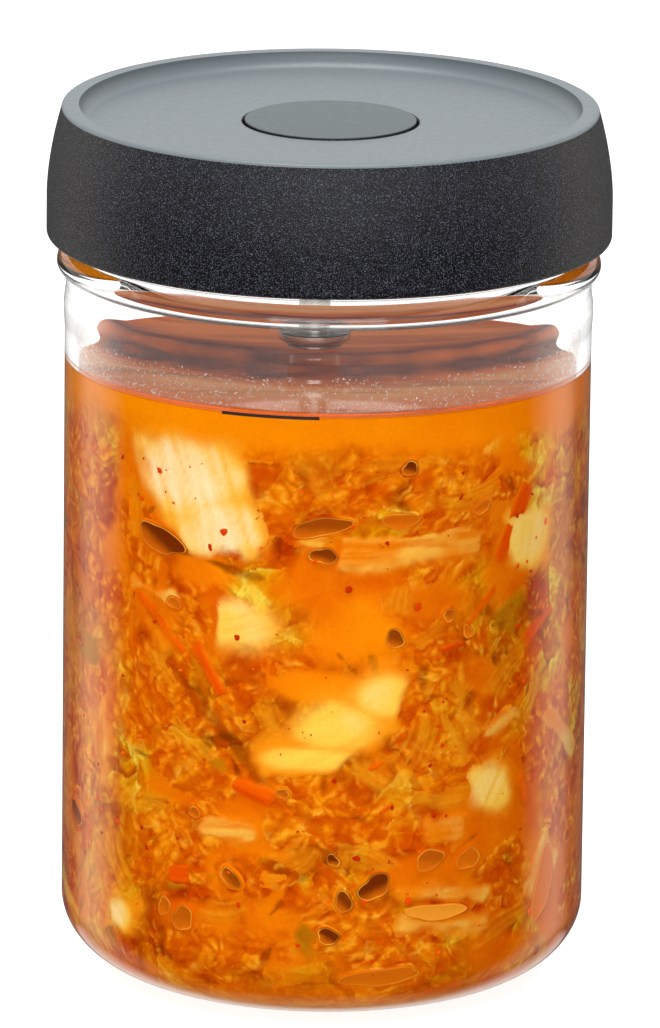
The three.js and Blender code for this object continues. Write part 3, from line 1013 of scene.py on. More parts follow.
def small_gaps():
    """Short gaps scattered between the leaves all round, darkened by a painted shade."""
    random = np.random.default_rng(GAPS_SEED)
    gaps = []
    for _ in range(SMALL_GAP_COUNT):
        angle = random.uniform(-180, 180)
        height = random.uniform(12, 116)
        run, rise = random.uniform(-6, 6, 2)
        gaps.append((angle, height, angle + run, height + rise, random.uniform(0.5, 1.3)))
    return gaps


SMALL_GAPS = small_gaps()


# A leaf's tone by its lift: painted shade where it is low and painted highlight where it is high.
def shaded_leaf_tone(lift):
    return np.stack([np.interp(lift, LEAF_STEPS, LEAF_SHADED_TONES[:, channel]) for channel in range(3)], axis=-1)


def leaf_lift(across, along, size, seed, wrap=0.0):
    """Crumpled leaf, from below 0 in a hollow to above 0 on a crest. Each fold is painted lighter towards one
    side, with a painted highlight where it laps another on its lit side and a painted shade on the other
    side.
    """
    lift = 0.0
    for strength, share, step in ((1.0, 1.0, 0), (0.55, 0.42, 7)):
        lean, own, edge, _, _ = folds(across, along, size * share, seed + step, wrap)
        lit = ramp(lean, -0.05, 0.25)
        lap = 1 - ramp(edge, 0.0, 0.09)
        # Lean shades each fold across; the lit side of a lapped edge is a painted highlight and the other
        # side a painted shade.
        lift = lift + strength * (0.13 * own + 0.3 * lean + 0.2 * lap * lit - 0.2 * lap * (1 - lit))
    return lift


def veins(lengthwise, crosswise, number, seed, spacing):
    """Wavy ridges that run along a leaf, from 0 between them to 1 on top."""
    return creases(np.stack([lengthwise * spacing / 8.5, crosswise, 61.0 * number], axis=-1), spacing, seed)


def side_shade(bearing, height):
    """How much of its tone a point keeps: a little less on the right and low down."""
    turn = np.degrees(bearing)
    right = ramp(turn, 12, 42) * (1 - ramp(turn, 150, 200)) * (1 - ramp(height, 108, 120))
    return (1 - 0.16 * right)[..., None]


def gap_shade_share(bearing, height, spots):
    """How far each point of the wall lies in a gap between leaves, where the shade is painted."""
    dark = np.zeros_like(bearing)
    waver = 0.9 * layered(spots, 5, 67, 3)
    for from_angle, from_height, to_angle, to_height, width in GAPS + SMALL_GAPS:
        run = math.radians(to_angle - from_angle) * INNER_RADIUS
        rise = to_height - from_height
        side = around(bearing, from_angle)
        share = np.clip((side * run + (height - from_height) * rise) / (run * run + rise * rise), 0, 1)
        reach = np.hypot(side - share * run, height - from_height - share * rise) + waver
        swell = 0.5 + 0.5 * np.sin(math.pi * np.clip(share, 0.1, 0.9))
        dark = np.maximum(dark, (1 - ramp(reach, 0.15 * width, width)) * swell)
    return dark


def packed_leaves(bearing, height, spots, fold):
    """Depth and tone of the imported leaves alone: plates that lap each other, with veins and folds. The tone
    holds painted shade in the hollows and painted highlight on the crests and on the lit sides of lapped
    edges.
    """
    side = bearing * INNER_RADIUS + warp(spots, 51, WALL_WARP)
    rise = wall_run(height) + warp(spots, 53, WALL_WARP)
    lean, plate, edge, plate_x, plate_y = folds(side, rise, 19.0, 75, ROUND_WALL)
    heading = 3.0 * plate
    lengthwise = plate_x * np.cos(heading) + plate_y * np.sin(heading)
    crosswise = plate_y * np.cos(heading) - plate_x * np.sin(heading) + 0.03 * lengthwise ** 2
    lap = 1 - ramp(edge, 0.0, 0.06)
    lit = ramp(lean, -0.1, 0.2)
    # Each plate is painted lighter towards one side, with a painted highlight on the lit side of a lapped
    # edge and a painted shade on the other.
    lift = 0.45 + 0.3 * lean + 0.22 * plate + 0.2 * fold + 0.2 * lap * lit - 0.25 * lap * (1 - lit)
    lift = lift + 0.35 * (veins(lengthwise, crosswise, plate, 81, 2.3) - 0.48)
    lift = lift + leaf_lift(side, rise, 6.0, 71, ROUND_WALL)
    depth = np.clip(0.95 + 0.12 * fold - 0.35 * (lift - 0.5), 0.65, 1.4)
    tone = shaded_leaf_tone(lift)
    drift = layered(spots, 13, 59, 2)
    tone = tone * blend(WHITE, PALER, ramp(drift, 0.02, 0.42))
    tone = tone * blend(WHITE, DEEPER, ramp(-drift, 0.02, 0.42))
    return depth, tone


def packed_look(bearing, height):
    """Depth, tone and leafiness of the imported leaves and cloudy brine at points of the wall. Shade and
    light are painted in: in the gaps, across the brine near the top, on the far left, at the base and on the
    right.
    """
    spots = on_wall(bearing, height, 0.0)
    fold = layered(spots, 15, 55, 3)
    depth, tone = packed_leaves(bearing, height, spots, fold)
    leafy = np.clip(0.7 + 0.4 * layered(spots, 12, 56, 2), 0.2, 1)
    bare = ramp(layered(spots, 19, 61, 3), 0.1, 0.6)
    bright = np.full_like(bare, 0.4)
    for angle, level, half_width, half_height, glow in POCKETS:
        reach = np.hypot(around(bearing, angle) / half_width, (height - level) / half_height) + 0.3 * fold
        share = 1 - ramp(reach, 0.45, 1.25)
        bright = bright * (1 - share) + glow * share
        bare = np.maximum(bare, share)
    foot = 1 - ramp(height + 2.5 * fold, 6.0, 12.0)
    bare = np.maximum(bare, 0.6 * foot)
    cloud = np.clip(bright + 0.3 * layered(spots, 10, 63, 2), 0, 1)
    tone = blend(tone, blend(BRINE_DEEP, BRINE_BRIGHT, cloud), 0.93 * bare)
    depth = depth * (1 - bare) + bare * (0.9 + 0.12 * fold)
    leafy = leafy * (1 - 0.9 * bare)
    # Gaps lie a little deeper and take a painted shade.
    dark = gap_shade_share(bearing, height, spots)
    tone = blend(tone, GAP_SHADE, 0.8 * dark)
    depth = depth + 0.4 * dark
    leafy = leafy * (1 - dark)
    # Near the top the cloudy brine is painted lighter towards the left, as light falling from that side.
    surface = ramp(height + 2.4 * layered(spots, 15, 62, 3), 118.5, 127.0)
    lit = np.clip(0.3 + 0.45 * (1 - np.sin(bearing)) + 0.15 * fold, 0, 1)
    tone = blend(tone, blend(SURFACE_SHADED, SURFACE_LIT, lit), surface)
    depth = depth * (1 - surface) + 0.5 * surface
    # A painted light on the far left side and at the base.
    turn = np.degrees(bearing)
    left = ramp(-turn, 50, 66) * ramp(turn, -110, -92) * (1 - surface)
    tone = blend(tone, LEFT_GLOW, (0.45 + 0.2 * fold) * left)
    base = 1 - ramp(height, FLOOR_Z + 0.8, FLOOR_Z + 5.0)
    tone = blend(tone, BASE_GLOW, 0.85 * base)
    return depth, tone * side_shade(bearing, height), leafy * (1 - surface)


def lay(batch, place, mask, face, tone, leafy):
    """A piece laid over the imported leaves: it rises to its face and takes its tone where its mask says.

    Its place is its middle (degrees, height) and its grid of millimetres across and along from there.
    """
    angle, height, across, along = place
    bearing = math.radians(angle) + across / INNER_RADIUS
    level = np.clip(height + along, CONTENT_BOTTOM_Z, CONTENT_TOP_Z)
    under_depth, under_tone, under_leafy = packed_look(bearing, level)
    rise = ramp(mask, 0.0, 1.0)
    depth = np.minimum(under_depth * (1 - rise) + face * rise, under_depth)
    depth = np.maximum(depth - LAID_ABOVE, LEAST_DEPTH)
    # Leafy pieces take the painted shade of the gaps under them too.
    if leafy > 0.5:
        tone = blend(tone, GAP_SHADE, 0.7 * gap_shade_share(bearing, level, on_wall(bearing, level, 0.0)))
    tone = tone * side_shade(bearing, level)
    tones = painted(blend(under_tone, tone, mask), under_leafy * (1 - mask) + leafy * mask)
    faces = grid_faces(*mask.shape)
    faces = faces[mask.ravel()[faces].max(axis=1) > FAINTEST_MASK]
    used, faces = np.unique(faces, return_inverse=True)
    points = on_wall(bearing, level, depth).reshape(-1, 3)
    batch.add(points[used], faces.reshape(-1, 4), tones.reshape(-1, 4)[used])


def outlined(corners, softness, seed, cells, wobble):
    """Place, spots for noise and mask of a piece whose outline runs round corners of (degrees, height)."""
    angle = sum(corner[0] for corner in corners) / len(corners)
    height = sum(corner[1] for corner in corners) / len(corners)
    flat = [(math.radians(corner[0] - angle) * INNER_RADIUS, corner[1] - height) for corner in corners]
    sides = [spot[0] for spot in flat]
    rises = [spot[1] for spot in flat]
    width = max(sides) - min(sides)
    rows = max(10, int(cells * math.sqrt((max(rises) - min(rises)) / width)))
    columns = max(10, int(cells * math.sqrt(width / (max(rises) - min(rises)))))
    across, along = np.meshgrid(np.linspace(min(sides) - 0.6, max(sides) + 0.6, columns),
                                np.linspace(min(rises) - 0.6, max(rises) + 0.6, rows))
    spots = local_points(across, along, seed)
    waver = wobble * layered(spots, 6, 3, 3)
    mask = np.ones_like(across)
    for first, second, soft in zip(flat, flat[1:] + flat[:1], softness):
        run, rise = second[0] - first[0], second[1] - first[1]
        inside = ((along - first[1]) * run - (across - first[0]) * rise) / math.hypot(run, rise)
        mask = mask * ramp(inside + waver * min(1.0, 0.35 + soft / 4), 0.0, soft)
    return (angle, height, across, along), spots, mask


def box_corners(angle, height, width, length, tilt):
    """Corners of a tilted oblong, from the upper left down and round."""
    corners = []
    for side, rise in ((-1, 1), (-1, -1), (1, -1), (1, 1)):
        x, y = turned_about(side * width / 2, rise * length / 2, tilt)
        corners.append((angle + math.degrees(x / INNER_RADIUS), height + y))
    return corners


def fibres(place, heading, seed, spread=1.3):
    """Marks along a piece's fibres."""
    _, _, across, along = place
    lengthwise, crosswise = turned_about(across, along, -heading)
    spots = np.stack([lengthwise / 12, crosswise / spread, 0 * across + 7.7 * seed], axis=-1)
    return layered(spots, 1.0, 8, 3)


# Contents: kinds of piece

STEM_GOLD = (0.9, 0.31, 0.007)
STEM_YELLOW = (0.95, 0.56, 0.06)
STEM_CREAM = (0.97, 0.66, 0.09)
STEM_WHITE = (0.97, 0.81, 0.5)
STEM_LINE = (0.86, 0.38, 0.04)
RIB_GOLD = (0.84, 0.24, 0.004)
RIB_PALE = (0.87, 0.55, 0.15)
RIB_YELLOW = (0.86, 0.43, 0.03)
RIB_LINE = (0.72, 0.17, 0.002)
VEIN_DEEP = (0.64, 0.15, 0.0015)
VEIN_PALE = (0.83, 0.34, 0.01)
CARROT_LIGHT = (0.82, 0.125, 0.0015)
CARROT_DEEP = (0.7, 0.06, 0.001)
GREEN_LIGHT = (0.56, 0.24, 0.004)
GREEN_DEEP = (0.33, 0.13, 0.002)
GREEN_LINE = (0.7, 0.33, 0.01)
# Painted shade inside a bubble, its lighter tones, and the painted highlight on its rim
BUBBLE_SHADE = (0.16, 0.024, 0.002)
BUBBLE_THIN = (0.7, 0.16, 0.004)
BUBBLE_CLEAR = (0.8, 0.31, 0.025)
BUBBLE_RIM_HIGHLIGHT = (1.0, 0.48, 0.05)
CHILLI_TONES = ((0.68, 0.05, 0.002), (0.8, 0.08, 0.003), (0.5, 0.025, 0.002), (0.88, 0.13, 0.004))
BUNDLE_COLUMNS = 35
BUNDLE_ROWS = 23
# Rings of a bubble as shares of its radius, and further ones in millimetres beyond its edge
BUBBLE_RINGS = np.array([0.0, 0.3, 0.55, 0.75, 0.9, 1.0])
BUBBLE_STEPS = np.array([0.12, 0.24, 0.38, 0.6, 0.9, 1.3])
BUBBLE_SIDES = 30
FLAKE_SIDES = 8
HEEL_ROWS = 44


def add_stem(batch, corners, softness, glows, white, heading, seed):
    """A pale chunk of stem, flat against the glass, golden where its edges fade into the brine."""
    place, spots, mask = outlined(corners, softness, seed, 52, 1.8)
    angle, height, across, along = place
    marks = fibres(place, heading, seed)
    cloud = layered(spots, 9, 9, 3)
    pale = np.zeros_like(mask)
    for glow_angle, glow_height, half_width, half_height in glows:
        side = across - math.radians(glow_angle - angle) * INNER_RADIUS
        reach = np.hypot(side / half_width, (along - glow_height + height) / half_height)
        pale = np.maximum(pale, 1 - ramp(reach + 0.15 * cloud, 0.15, 1.45))
    pale = np.clip(pale * (1 + 0.14 * marks), 0, 1)
    tone = blend(STEM_GOLD, STEM_YELLOW, ramp(pale, 0.0, 0.6))
    palest = blend(STEM_CREAM, STEM_WHITE, np.clip(white + 0.25 * cloud, 0, 1))
    tone = blend(tone, palest, ramp(pale, 0.3, 0.95) * np.clip(0.75 + 0.25 * marks, 0, 1))
    tone = blend(tone, STEM_LINE, 0.16 * ramp(-marks, 0.3, 1.0))
    face = 0.6 - 0.05 * marks + 0.06 * cloud
    lay(batch, place, mask, face, tone, 0.0)


def add_rib(batch, corners, softness, yellow, heading, seed):
    """A length of leaf rib with a few uneven lines along it, golden where it fades into the brine."""
    softness = [1.4 * soft for soft in softness]
    place, spots, mask = outlined(corners, softness, seed, 42, 1.5)
    marks = fibres(place, heading, seed, 1.7)
    cloud = layered(spots, 7, 9, 3)
    pale = np.clip(ramp(mask, 0.3, 1.0) * (0.6 + 0.6 * cloud + 0.45 * marks), 0, 1)
    palest = blend(RIB_PALE, RIB_YELLOW, np.full_like(pale, yellow))
    tone = blend(RIB_GOLD, palest, pale)
    tone = blend(tone, RIB_LINE, 0.5 * ramp(-marks, 0.35, 0.8))
    face = 0.62 - 0.07 * marks + 0.05 * cloud
    lay(batch, place, mask, face, tone, 0.08)


def add_leaf(batch, leaf, seed, draw, fineness=1.2):
    """A crumpled leaf with a frilled, uneven edge, crisp on one side and lost in the brine on the other."""
    angle, height, width, length, tilt, yellow = leaf
    across, along = np.meshgrid(np.linspace(-1.35, 1.35, round(12 + fineness * width)),
                                np.linspace(-1.35, 1.35, round(12 + fineness * length)))
    out = np.hypot(across, along)
    way = np.arctan2(along, across)
    across = across * width / 2
    along = along * length / 2
    spots = local_points(across, along, seed)
    side_warp = warp(spots, 21, LEAF_WARP)
    rise_warp = warp(spots, 23, LEAF_WARP)
    frill = 0.16 * np.sin(3 * way + 9 * draw) + 0.22 * layered(spots, 6, 26, 4, 0.6)
    soft = 0.14 + 0.75 * ramp(np.sin(way + 6.3 * draw), -0.4, 0.7)
    mask = ramp((1.12 + frill - out) / soft, 0.0, 1.0)
    fan = (along + rise_warp) / (0.75 + 0.5 * across / width)
    ridges = veins(across + side_warp, fan, 0 * fan + seed, 83, 2.0)
    lift = 0.46 + 0.5 * (yellow - 0.4) + 0.4 * (ridges - 0.48)
    lift = lift + 0.8 * leaf_lift(across + side_warp, along + rise_warp, 5.4, 200 + 11 * seed)
    lift = lift + 0.14 * layered(spots, 9, 27, 2)
    rim = ramp(mask, 0.15, 0.6) * (1 - ramp(mask, 0.7, 1.0)) * (1 - ramp(soft, 0.2, 0.4))
    # Its tone follows its lift, with painted shade in the hollows and painted highlight on the crests,
    # lighter still along the crisp edge.
    tone = shaded_leaf_tone(np.clip(lift + 0.25 * rim, 0, 0.95))
    face = 0.78 - 0.35 * (lift - 0.5)
    across, along = turned_about(across, along, tilt)
    lay(batch, (angle, height, across, along), mask, np.maximum(face, 0.3), tone, 0.8)


def add_bundle(batch, bundle, seed):
    """A curved bundle of leaf veins, fanning out a little."""
    angle, height, length, width, heading, bend, yellow = bundle
    lengthwise, crosswise = np.meshgrid(np.linspace(-1, 1, BUNDLE_COLUMNS), np.linspace(-1, 1, BUNDLE_ROWS))
    course = math.radians(heading) + bend * lengthwise
    step = length / (BUNDLE_COLUMNS - 1)
    middle_x = np.cumsum(np.cos(course) * step, axis=1)
    middle_y = np.cumsum(np.sin(course) * step, axis=1)
    half_way = BUNDLE_COLUMNS // 2
    middle_x = middle_x - middle_x[:, half_way:half_way + 1]
    middle_y = middle_y - middle_y[:, half_way:half_way + 1]
    half = 0.7 * width * (1 - 0.3 * lengthwise)
    across = middle_x - crosswise * half * np.sin(course)
    along = middle_y + crosswise * half * np.cos(course)
    spots = np.stack([lengthwise * length / 20, crosswise * width / 0.85, 0 * across + 3.1 * seed], axis=-1)
    marks = layered(spots, 1.0, 29, 2)
    waver = 0.25 * layered(local_points(across, along, seed), 4, 28, 2)
    mask = ramp(1 - np.abs(lengthwise) + waver, 0.0, 0.4) * ramp(1 - np.abs(crosswise) + waver, 0.0, 0.55)
    tone = blend(VEIN_DEEP, VEIN_PALE, np.clip(yellow + 0.55 * marks, 0, 1))
    lay(batch, (angle, height, across, along), 0.6 * mask, 0.68 - 0.1 * marks, tone, 0.15)


def add_carrot(batch, carrot, seed):
    """A cut carrot stick with flat faces and slightly ragged edges."""
    *_, tilt = carrot
    softness = (1.8, 1.5, 1.8, 1.2)
    place, _, mask = outlined(box_corners(*carrot), softness, seed, 30, 1.1)
    marks = fibres(place, tilt, seed, 1.0)
    tone = blend(CARROT_LIGHT, CARROT_DEEP, np.clip(0.45 + 0.6 * marks, 0, 1))
    lay(batch, place, mask, 0.6 + 0.05 * marks, tone, 0.0)


def add_green(batch, green, seed):
    """A piece of leek or onion green, lined along its length."""
    *_, tilt = green
    softness = (2.2, 2.4, 2.0, 1.4)
    place, spots, mask = outlined(box_corners(*green), softness, seed, 30, 1.8)
    marks = fibres(place, tilt, seed, 0.9)
    tone = blend(GREEN_LIGHT, GREEN_DEEP, 0.5 + 0.5 * noise(spots, 6, 45))
    tone = blend(tone, GREEN_LINE, 0.6 * ramp(marks, 0.1, 0.8))
    lay(batch, place, 0.85 * mask, 0.65 - 0.05 * marks, tone, 0.1)


def add_bubble(batch, bubble, seed):
    """An air bubble against the glass: a painted shade inside, lighter towards its lower edge, and a thin
    painted highlight round its rim that glints unevenly.
    """
    angle, height, width, length, tilt, dark = bubble
    shares = np.concatenate([BUBBLE_RINGS, np.ones(len(BUBBLE_STEPS))])
    share, way = np.meshgrid(shares, round_steps(BUBBLE_SIDES), indexing="ij")
    beyond = np.concatenate([np.zeros(len(BUBBLE_RINGS)), BUBBLE_STEPS])[:, None] + 0 * way
    wander = 1 + 0.14 * np.sin(2 * way + seed) + 0.1 * np.sin(3 * way + 2.3 * seed)
    wander = wander + 0.05 * np.sin(5 * way + seed)
    across = np.cos(way) * (share * width / 2 * wander + beyond)
    along = np.sin(way) * (share * length / 2 * wander + beyond)
    # The rim is a painted highlight, brighter in places as a painted glint; inside is painted shade, lighter
    # towards the lower edge.
    rim = ramp(beyond, 0.0, 0.14) * (1 - ramp(beyond, 0.2, 0.42))
    rim_glint = 0.35 + 0.65 * ramp(np.sin(way + 2.1 * seed) + 0.6 * np.sin(3 * way + seed), -0.5, 1.1)
    depth = 0.38 + 0.08 * (1 - share ** 2) - 0.05 * rim
    lower_light = 0.5 - 0.5 * np.sin(way + 0.4) * share
    thin = BUBBLE_THIN if dark > 0 else BUBBLE_CLEAR
    deep = blend(thin, BUBBLE_SHADE, np.full_like(share, dark))
    tone = blend(deep, thin, 0.75 * ramp(lower_light, 0.4, 1.0))
    tone = blend(tone, BUBBLE_RIM_HIGHLIGHT, (0.4 + 0.4 * dark) * rim * rim_glint)
    across, along = turned_about(across, along, tilt)
    bearing = math.radians(angle) + across / INNER_RADIUS
    level = np.clip(height + along, CONTENT_BOTTOM_Z, CONTENT_TOP_Z)
    under_depth, under_tone, _ = packed_look(bearing, level)
    tone = blend(tone, under_tone, ramp(beyond, 0.28, 0.6))
    outer = ramp(beyond, 0.2, 1.3)
    depth = np.maximum(depth * (1 - outer) + under_depth * outer, LEAST_DEPTH)
    tones = painted(tone, np.zeros_like(share))
    batch.add(on_wall(bearing, level, depth), grid_faces(len(shares), BUBBLE_SIDES, True), tones)


def add_flake(batch, random, near_front):
    """A chilli flake or seed, a small ragged chip lying by the glass."""
    angle = random.uniform(-68, 68) if near_front else random.uniform(-180, 180)
    height = random.uniform(9, 121)
    size = 0.45 + 1.4 * random.random() ** 3
    way = round_steps(FLAKE_SIDES)
    reach = size / 2 * (0.7 + 0.5 * random.random(FLAKE_SIDES))
    slim = random.uniform(0.45, 1.0)
    across = np.concatenate([[0.0], 0.55 * reach * np.cos(way), reach * np.cos(way)])
    along = slim * np.concatenate([[0.0], 0.55 * reach * np.sin(way), reach * np.sin(way)])
    across, along = turned_about(across, along, random.uniform(0, 180))
    ring = np.arange(FLAKE_SIDES)
    slopes = [[0.0], np.full_like(way, 0.04), np.full_like(way, 0.25)]
    depth = random.uniform(0.12, 0.3) + np.concatenate(slopes)
    inner, outer = 1 + ring, 1 + FLAKE_SIDES + ring
    next_inner, next_outer = np.roll(inner, -1), np.roll(outer, -1)
    skirt = np.stack([inner, outer, next_outer, next_inner], axis=-1)
    fan = np.stack([0 * ring, inner, next_inner], axis=-1)
    tone = np.array([*CHILLI_TONES[random.integers(len(CHILLI_TONES))], 0.0])
    points = on_wall(math.radians(angle) + across / INNER_RADIUS, height + along, depth)
    batch.add(points, skirt, np.broadcast_to(tone, (len(points), 4)))
    batch.faces.append(fan + batch.count - len(points))


def make_core(name, from_bearing, to_bearing, columns, rows):
    """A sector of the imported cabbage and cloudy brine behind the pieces, down to the axis."""
    heel_heights = FLOOR_Z + INNER_HEEL_HEIGHT * (1 - np.sin(np.linspace(math.radians(87), 0, HEEL_ROWS)))
    wall_heights = np.linspace(FLOOR_Z + INNER_HEEL_HEIGHT, CORE_TOP_Z, rows)
    heights = np.concatenate([heel_heights, wall_heights[1:]])
    bearing, height = np.meshgrid(np.linspace(from_bearing, to_bearing, columns), heights)
    depth, tone, leafy = packed_look(bearing, height)
    points = on_wall(bearing, height, depth).reshape(-1, 3)
    faces = grid_faces(len(heights), columns).tolist()
    tones = painted(tone, leafy).reshape(-1, 4)
    low_pole, high_pole = len(points), len(points) + 1
    last = (len(heights) - 1) * columns
    for column in range(columns - 1):
        faces.append((low_pole, column + 1, column))
        faces.append((last + column, last + column + 1, high_pole))
    points = np.concatenate([points, [(0, 0, heights[0]), (0, 0, heights[-1])]])
    tones = np.concatenate([tones, np.broadcast_to((*CORE_MIDDLE, 0.0), (2, 4))])
    material = food_material("packed_leaves", 0.5)
    core = make_piece(name, points, faces, [material], tones=tones)
    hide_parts("cabbage_heap")


def clear_of_stems(angle, height):
    """Whether a place at the front lies off every pale chunk."""
    for corners, *_ in STEM_CHUNKS:
        sides = [corner[0] for corner in corners]
        heights = [corner[1] for corner in corners]
        if min(sides) - 3 < angle < max(sides) + 3 and min(heights) - 2 < height < max(heights) + 2:
            return False
    return True


def drawn(random, *ranges):
    """One even draw from each range, in order."""
    return tuple(random.uniform(*ends) for ends in ranges)


def add_front_pieces(batches, random):
    """The pieces that the photograph shows. Each has a seed of its own, so no two share their noise."""
    for seed, chunk in enumerate(STEM_CHUNKS):
        add_stem(batches["stem_chunks"], *chunk, seed)
    for seed, chunk in enumerate(RIB_CHUNKS, 20):
        add_rib(batches["leaf_ribs"], *chunk, seed)
    for seed, carrot in enumerate(CARROTS, 40):
        add_carrot(batches["carrot_sticks"], carrot, seed)
    for seed, green in enumerate(GREENS, 60):
        add_green(batches["green_pieces"], green, seed)
    for seed, leaf in enumerate(FRONT_LEAVES, 80):
        add_leaf(batches["cabbage_leaves"], leaf, seed, random.random(), 2.2)
    for seed, bundle in enumerate(BUNDLES, 110):
        add_bundle(batches["vein_bundles"], bundle, seed)


def add_back_pieces(batches, random):
    """The rows of pieces round the rest of the jar, with more leaves and veins between them."""
    for seed, (kind, angle, height, width, length, tilt) in enumerate(rest_of_pieces(), 140):
        softness = random.uniform(1.2, 4.5, 4)
        yellow = random.uniform(0.1, 0.8)
        corners = box_corners(angle, height, width, length, tilt)
        if kind == "stem":
            glows = [(angle, height, 0.3 * width, 0.3 * length)]
            add_stem(batches["stem_chunks"], corners, softness, glows, yellow, tilt + 90, seed)
        elif kind == "rib":
            add_rib(batches["leaf_ribs"], corners, 0.4 * softness, yellow, tilt, seed)
        elif kind == "carrot":
            add_carrot(batches["carrot_sticks"], (angle, height, width, 0.75 * length, tilt), seed)
        elif kind == "green":
            add_green(batches["green_pieces"], (angle, height, 0.6 * width, 0.5 * length, tilt), seed)
        else:
            leaf = (angle, height, width, length, tilt, yellow)
            add_leaf(batches["cabbage_leaves"], leaf, seed, random.random())
    for seed in range(BACK_EXTRAS):
        bundle = drawn(random, BACK_DEGREES, (16, 116), (10, 22), (4, 8), (0, 180), (-0.8, 0.8), (0.3, 0.7))
        add_bundle(batches["vein_bundles"], bundle, 240 + seed)
        leaf = drawn(random, BACK_DEGREES, (14, 116), (14, 24), (10, 18), (-60, 60), (0.3, 0.6))
        add_leaf(batches["cabbage_leaves"], leaf, 300 + seed, random.random())


def add_curls(batch, random):
    """Small curls of leaf, most of them at the front, where leaves rather than stems or brine show."""
    for seed in range(CURLS):
        degrees = FRONT_DEGREES if seed < FRONT_CURLS else BACK_DEGREES
        angle, height, width, slim, tilt, yellow = drawn(
            random, degrees, (12, 119), (5, 10), (0.5, 0.9), (-90, 90), (0.35, 0.75))
        draw = random.random()
        _, _, leafy = packed_look(np.array([math.radians(angle)]), np.array([height]))
        if leafy[0] > 0.3 and clear_of_stems(angle, height):
            add_leaf(batch, (angle, height, width, width * slim, tilt, yellow), 400 + seed, draw)


def add_bubbles(batch, random):
    """The bubbles that the photograph shows, and drawn ones round the back."""
    for seed, bubble in enumerate(BUBBLES):
        add_bubble(batch, bubble, seed)
    for seed in range(100, 100 + BACK_BUBBLES):
        size = 1.4 + 4.0 * random.random() ** 2
        angle, height, stretch, tilt = drawn(random, BACK_DEGREES, (12, 118), (1, 1.9), (-40, 40))
        add_bubble(batch, (angle, height, size * stretch, size, tilt, random.random()), seed)


# Small pieces of the contents: name, material and how deep its fine relief is
SMALL_PIECES = [
    ("leaf_curls", "curl_flesh", 0.3),
    ("stem_chunks", "stem_flesh", 0.3),
    ("leaf_ribs", "rib_flesh", 0.3),
    ("cabbage_leaves", "leaf_flesh", 0.5),
    ("vein_bundles", "vein_flesh", 0.3),
    ("carrot_sticks", "carrot_flesh", 0.3),
    ("green_pieces", "green_flesh", 0.3),
    ("bubbles", "bubble_skin", 0.1),
    ("chilli_flakes", "chilli_skin", 0.3),
]


def make_contents():
    """Everything in the brine, with its draws in one fixed order."""
    random = np.random.default_rng(CONTENTS_SEED)
    batches = {name: Batch() for name, _, _ in SMALL_PIECES}
    add_front_pieces(batches, random)
    add_back_pieces(batches, random)
    add_curls(batches["leaf_curls"], random)
    add_bubbles(batches["bubbles"], random)
    for number in range(FLAKES):
        add_flake(batches["chilli_flakes"], random, number < FRONT_FLAKES)
    quarter_turn = math.pi / 2
    make_core("packed_cabbage_front_left", -quarter_turn, 0.0, *FRONT_GRID)
    make_core("packed_cabbage_front_right", 0.0, quarter_turn, *FRONT_GRID)
    make_core("packed_cabbage_back", quarter_turn, 3 * quarter_turn, *BACK_GRID)
    for name, skin, relief in SMALL_PIECES:
        batches[name].make(name, food_material(skin, relief))


DROPS = 3800
DROP_SIDES = 6
# Rings of a drop: share of its radius and how far it stands from the glass, as shares of its size
DROP_TOP = 0.62
DROP_RINGS = ((0.6, 0.48), (1.0, 0.02))


def make_condensation():
    """Fine droplets on the inside of the glass above the brine."""
    random = np.random.default_rng(DROPS_SEED)
    spots = []
    faces = []
    ways = round_steps(DROP_SIDES)
    for _ in range(DROPS):
        bearing = random.uniform(-math.pi, math.pi)
        height = BRINE_Z + 1.4 + 7.0 * random.random() ** 1.3
        size = 0.08 + 0.13 * random.random() ** 2
        top = len(spots)
        spots.append((bearing, height, DROP_TOP * size))
        for share, stand in DROP_RINGS:
            for way in ways:
                side = bearing + size * share * math.cos(way) / INNER_RADIUS
                spots.append((side, height + size * share * math.sin(way), stand * size))
        for step in range(DROP_SIDES):
            inner = top + 1 + step
            next_inner = top + 1 + (step + 1) % DROP_SIDES
            faces.append((top, next_inner, inner))
            faces.append((inner, next_inner, next_inner + DROP_SIDES, inner + DROP_SIDES))
    points = on_wall(*np.array(spots).T)
    drops = make_piece("condensation", points, faces, [droplet_material()])
    drops.visible_shadow = False


# Stage

FLOOR_SIDES = 64
FLOOR_REACH = 9.0
FLOOR_LEVEL = -0.0002
WORLD_FILL = 0.45
MIRROR_SHARE = 0.15
# Area lights, in metres: name, place, width, height and watts
LIGHT_TARGET = (0, 0, 0.08)
LIGHTS = [
    ("overhead", (-0.1, -0.25, 2.2), 1.6, 1.4, 46),
    ("front", (0.0, -1.9, 0.62), 1.8, 0.6, 9),
]
BAND_TINT = (1.0, 0.94, 0.8)
CAMERA_AIM = (0.84, 0.0, 97.0)
CAMERA_DISTANCE = 2.2
CAMERA_PITCH = 14.8
CAMERA_ROLL = 0.69
CAMERA_LENS = 367.4
SENSOR_WIDTH = 36.0
CLIP_END = 50.0


def make_floor():
    mesh = bpy.data.meshes.new("floor")
    ring = []
    for turn in round_steps(FLOOR_SIDES):
        ring.append((FLOOR_REACH * math.cos(turn), FLOOR_REACH * math.sin(turn), FLOOR_LEVEL))
    mesh.from_pydata(ring, [], [tuple(range(FLOOR_SIDES))])
    mesh.materials.append(floor_material())
    floor = bpy.data.objects.new("floor", mesh)
    bpy.context.scene.collection.objects.link(floor)
    floor.visible_glossy = False


